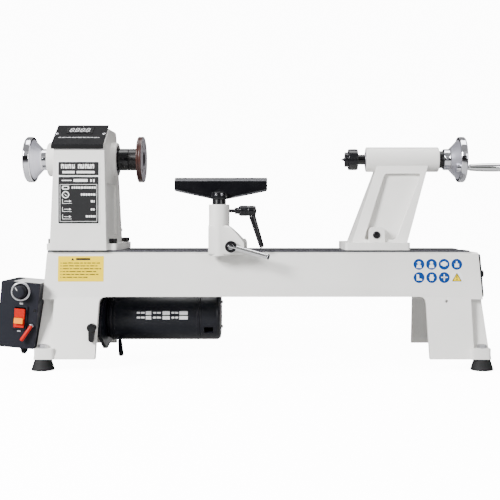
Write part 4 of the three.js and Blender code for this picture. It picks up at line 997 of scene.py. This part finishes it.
eye_bolt("banjo_eye_bolt", "banjo_bolt", "banjo_clamp_bolt", -49.8, 197, 5, 9.9, 7, 152, 159.7, 4)
Shape().cad("banjo_clamp_plate").build("banjo_washer_plate", "banjo_clamp", "steel", STEEL_PLAIN_MAT, 0.8,
                                       ["banjo_clamp_plate"])
post = Shape().turn("z", (CX, CY, 0), [(0, 200), (10.2, 200), (11, 201), (11, 272), (0, 272)], 0.4)
post.build("rest_post", "rest_post", "steel", IRON_MAT, 0, ["tool_rest_post"])
rest = Shape().cad("tool_rest")
rest.turn("z", (CX, CY, 0), [(0, 272.3), (12.5, 272.3), (13.55, 274), (13.55, 283), (0, 289)], 0.6)
for x in (-4, 5):
    socket_screw(rest, "y", (CX + x, 0, 279.5), 1.9, CY - 12.4, CY - 13.5, 1)
rest.build("rest_blade", "rest", "black_iron", [IRON_MAT, SCREW_MAT], 0.5, ["tool_rest"])
# Painted highlights: the steel strip on the rest's front top bevel and the two thin rods along its sloping
# lower edges stand in for light caught on those edges.
edge = Shape()
edge.prism("x", CX - 72.6, CX + 76.6, [(-69.2, 308.1), (-78.4, 302.7), (-78.7, 301.9), (-78.1, 301.6),
                                       (-69, 307.2)], 0.15)
for outer, inner in ((-71.6, -14), (75.6, 15)):
    edge.bar((CX + outer, -77.7, 288), (CX + inner, -77.4, 274.8), 0.9, 0.9)
edge.build("rest_edge_painted_highlights", "rest", "steel",
           machined("rest_highlight_steel", (0.13, 0.13, 0.14), 0.34, None, 1100,
                                                        0.00003), 0)

ratchet = Shape()
ratchet.turn("x", RATCHET, [(0, -57.6), (2.9, -57.6), (2.9, -44.5), (0, -44.5)], 0.2)
for k in range(9):
    at = -57 + k * 1.4
    ratchet.turn("x", RATCHET, [(2.8, at), (3.0, at + 0.5), (2.8, at + 1)], 0, 0, 48)
ratchet.turn("x", RATCHET, [(0, -44.5), (5.2, -44.5), (5.2, -38.5), (6.8, -38.2), (8.4, -35.6), (8.4, -24),
                                 (8.0, -23), (8.4, -22), (8.4, -14), (7.2, -10.8), (0, -9.8)], 0.7)
for k in range(16):
    spun = Matrix.Translation(RATCHET) @ Matrix.Rotation(math.tau * k / 16, 4, "X")
    ratchet.box((-34.4, -0.7, 7.4), (-25, 0.7, 8.55), 0, spun)
ratchet.bar((-17, CY, 247), (-1, CY, 196), 5.4, 4)
socket_screw(ratchet, "x", RATCHET, 3.2, -11, -9.75, 1)
ratchet.build("ratchet_handle", "rest_lock", "black_iron", [IRON_MAT, STEEL_PLAIN_MAT], 0.15,
              ["rest_lock_lever"])

# ---------- tailstock ----------
TAIL_CAM = (186.2, 0, 214.6)
tail = Shape().cad("tailstock_casting")
tail.turn("x", SPINDLE,
          [(12.85, 190), (12.85, 174), (20, 174), (21.05, 175), (21.05, 296), (20, 297), (7.1, 297)],
          0.5)
tail.turn("y", TAIL_CAM, [(6.15, -58), (6.15, -60.1), (7.3, -60.1), (7.7, -59.6)], 0.1)
tail.build("tailstock_body", "tailstock", "cast_paint", PAINT_MAT, 1.4, ["tailstock_casting"], 3)

sleeve = Shape().turn("x", SPINDLE,
                      [(5.2, 272), (5.2, 218), (7.76, 218), (8.9, 172.6), (11.9, 172.6), (12.5, 173.4),
                                     (12.5, 271.4), (11.9, 272), (5.2, 272)], 0.3)
sleeve.build("quill_sleeve", "quill", "steel", STEEL_MAT, 0, ["quill"])
screw = Shape().turn("x", SPINDLE,
                     [(0, 219), (4.6, 219), (4.6, 277), (11.5, 277), (11.5, 284.7), (6.7, 284.7),
                                    (6.7, 325), (0, 325)], 0.4)
for k in range(38):
    at = 220 + k * 1.5
    screw.turn("x", SPINDLE, [(4.5, at), (4.9, at + 0.5), (4.5, at + 1)], 0, 0, 48)
screw.build("quill_lead_screw", "handwheel", "steel", STEEL_MAT, 0, ["quill_screw"])

CRANK_Z = AXIS_Z - 14.8
CRANK_Y = -math.sqrt(29 ** 2 - 14.8 ** 2)
front_wheel = Shape().turn("x", SPINDLE, wheel_profile(7, 305.5, 1), 0.8, 0, 128)
front_wheel.turn("x", (0, CRANK_Y, CRANK_Z), [(0, 323), (7, 323), (7, 341), (6.2, 342), (0, 342)], 0.4)
socket_screw(front_wheel, "y", (310.1, 0, AXIS_Z), 2.2, -17.2, -18.06, 1)
front_wheel.build("quill_handwheel", "handwheel", "aluminium", [ALU_MAT, IRON_MAT], 0, ["tail_handwheel"])
collar = Shape().turn("x", SPINDLE, [(7.2, 297.6), (14.6, 297.6), (14.6, 305.2), (7.2, 305.2), (7.2, 297.6)],
                      0.4)
collar.build("thrust_collar", "handwheel", "black_iron", IRON_MAT, 0)
crank_line = [(0, 342.4), (4.4, 342.4), (4.6, 344)]
for k in range(17):
    t = k / 16
    crank_line.append((4.9 + 2.3 * math.sin(math.pi * (0.12 + 0.8 * t)), 342.4 + 82.6 * (0.05 + 0.9 * t)))
crank_line += [(3.6, 424.4), (0, 425)]
crank = Shape().turn("x", (0, CRANK_Y, CRANK_Z), crank_line, 0.3, 0, 64)
crank.build("crank_grip", "crank", "chrome", CHROME_MAT, 0, ["crank_handle"])

point = Shape().turn("x", SPINDLE, [
    (0, 132), (0.5, 132.4), (3.7, 138.4), (12.5, 138.4), (12.5, 144), (17, 144), (17.8, 145), (17.8, 159),
    (16.8, 160.4), (0, 160.4)], 0.4)
for k in range(12):
    spun = Matrix.Translation(SPINDLE) @ Matrix.Rotation(math.tau * k / 12, 4, "X")
    point.box((146.5, -1.1, 17.2), (157.5, 1.1, 18.0), 0, spun)
point.build("live_centre_head", "live_centre", "black_iron", IRON_MAT, 0.1, ["live_centre_point"])
arbor = Shape().turn("x", SPINDLE, [(0, 160.7), (8.6, 160.7), (8.6, 172), (7.46, 216), (0, 216)], 0.3)
arbor.build("live_centre_taper", "quill", "steel", IRON_MAT, 0, ["live_centre_arbor"])

rear = Shape().turn("y", TAIL_CAM, [(0, -62), (5, -62), (5.8, -61.2), (5.8, 62), (9, 62), (9, 76), (0, 76)],
                    0.4, 1)
rear.box((180.9, -62.1, 213.9), (191.5, -61.5, 215.3), 1)
rear.bar((183, 69, 208), (209, 69, 288), 4.1, 4.1)
rear.build("tail_clamp_lever", "tail_cam", "chrome", [CHROME_MAT, IRON_MAT], 0, ["tail_cam_lever"])
eye_bolt("tail_eye_bolt", "tailstock", "tail_clamp_bolt", 186.2, 214.6, 7, 11, 7.2, 148, 156.7, 5)
Shape().cad("tail_clamp_plate").build("tail_washer_plate", "tailstock", "steel", STEEL_PLAIN_MAT, 0.8,
                                      ["tail_clamp_plate"])
quill_lock = Shape().turn("y", (205, 0, AXIS_Z),
                          [(0, 14), (2.9, 14), (2.9, 26), (6.5, 26), (8, 28), (8, 42), (6, 45),
                                                  (0, 45.5)], 0.6)
quill_lock.bar((206, 38, 335), (212, 44, 292), 4.6, 3.8)
quill_lock.build("quill_lock_handle", "quill_lock", "black_iron", IRON_MAT, 0, ["quill_lock_lever"])

# ---------- stage, light and camera ----------


def studio_floor():
    """A wide pale floor that curves up into a rim, the same from every side."""
    flat, curve, height, sides = 4.5, 3, 6, 96
    bends = [t * math.pi / 20 for t in range(1, 11)]
    profile = [(0, 0), (flat, 0)]
    profile += [(flat + curve * math.sin(t), curve - curve * math.cos(t)) for t in bends]
    profile += [(flat + curve, height)]
    mesh = bpy.data.meshes.new("studio_floor")
    tool = bmesh.new()
    ring_before = None
    for r, z in profile:
        if r == 0:
            ring = [tool.verts.new((0, 0, z))]
        else:
            ring = [tool.verts.new((r * math.cos(math.tau * k / sides), r * math.sin(math.tau * k / sides),
                                    z))
                    for k in range(sides)]
        if ring_before:
            for k in range(sides):
                j = (k + 1) % sides
                if len(ring_before) == 1:
                    tool.faces.new((ring_before[0], ring[k], ring[j]))
                else:
                    tool.faces.new((ring_before[k], ring[k], ring[j], ring_before[j]))
        ring_before = ring
    for made in tool.faces:
        made.smooth = True
    tool.to_mesh(mesh)
    tool.free()
    floor = bpy.data.objects.new("studio_floor", mesh)
    SCENE.collection.objects.link(floor)
    n = Nodes("studio_white")
    pale = n.blend(n.noise(6, 3), (0.90, 0.90, 0.90), (0.87, 0.87, 0.87))
    x, y, z = n.split()
    radius = n.math("SQRT", n.math("ADD", n.math("POWER", x, 2.0), n.math("POWER", y, 2.0)))
    near = n.remap(radius, NEAR_FLOOR[0], NEAR_FLOOR[1], 1, 0)
    high = n.remap(z, BRIGHT_WALL[0], BRIGHT_WALL[1], 0, WALL_GLOW)
    seen = n.add("ShaderNodeLightPath").outputs["Is Camera Ray"]
    lit = n.math("MAXIMUM", near, seen)
    n.link(n.blend(lit, (0.02, 0.02, 0.02), n.blend(seen, (0.42, 0.42, 0.42), pale)),
           n.shader.inputs["Base Color"])
    n.shader.inputs["Roughness"].default_value = 0.85
    n.shader.inputs["Emission Color"].default_value = (1, 1, 1, 1)
    glowing = n.math("ADD", n.math("MULTIPLY", near, FLOOR_GLOW), high)
    n.link(n.mixed(seen, glowing, FLOOR_SEEN_GLOW), n.shader.inputs["Emission Strength"])
    n.link(n.bump(n.noise(300, 2), 0.0001, 0.2), n.shader.inputs["Normal"])
    mesh.materials.append(n.material)


def softbox(name, place, target, width, height, watts):
    light = bpy.data.lights.new(name, "AREA")
    light.shape = "RECTANGLE"
    light.size, light.size_y = width, height
    light.energy = watts
    obj = bpy.data.objects.new(name, light)
    obj.location = place
    obj.rotation_euler = (Vector(target) - Vector(place)).to_track_quat("-Z", "Y").to_euler()
    SCENE.collection.objects.link(obj)


def sky():
    """A soft dome: bright overhead, grey towards the horizon, so that bright metal shows bands."""
    world = bpy.data.worlds.new("studio")
    SCENE.world = world
    world.use_nodes = True
    tree = world.node_tree
    coords = tree.nodes.new("ShaderNodeTexCoord")
    parts = tree.nodes.new("ShaderNodeSeparateXYZ")
    ramp = tree.nodes.new("ShaderNodeMapRange")
    ramp.inputs[1].default_value, ramp.inputs[2].default_value = 0.0, 0.9
    ramp.inputs[3].default_value, ramp.inputs[4].default_value = 0.2, 0.42
    tree.links.new(coords.outputs["Generated"], parts.inputs[0])
    tree.links.new(parts.outputs[2], ramp.inputs[0])
    background = tree.nodes["Background"]
    background.inputs["Color"].default_value = (1, 1, 1, 1)
    tree.links.new(ramp.outputs[0], background.inputs["Strength"])


# The room goes dark beyond the near floor and bright again high up, which puts bands on polished metal.
FLOOR_GLOW = 0.06
FLOOR_SEEN_GLOW = 12.0
NEAR_FLOOR = (0.9, 1.6)
BRIGHT_WALL = (2.0, 3.0)
WALL_GLOW = 0.55
studio_floor()
sky()
softbox("key_softbox", (-1.9, -1.9, 1.5), (-0.05, 0, 0.22), 0.9, 0.9, 205)
softbox("fill_softbox", (1.5, -2.2, 0.9), (0.1, 0, 0.2), 0.9, 1.1, 22)
softbox("top_softbox", (0.0, 0.1, 2.0), (0, 0, 0.2), 1.8, 0.9, 34)

camera = bpy.data.cameras.new("camera")
camera.lens = 66.24
camera.sensor_width = 36
camera.shift_x = -0.05
camera.shift_y = -0.056
camera_object = bpy.data.objects.new("camera", camera)
camera_object.location = (0.020, -1.564, 0.236)
camera_object.rotation_euler = (math.pi / 2, 0, 0)
SCENE.collection.objects.link(camera_object)
SCENE.camera = camera_object
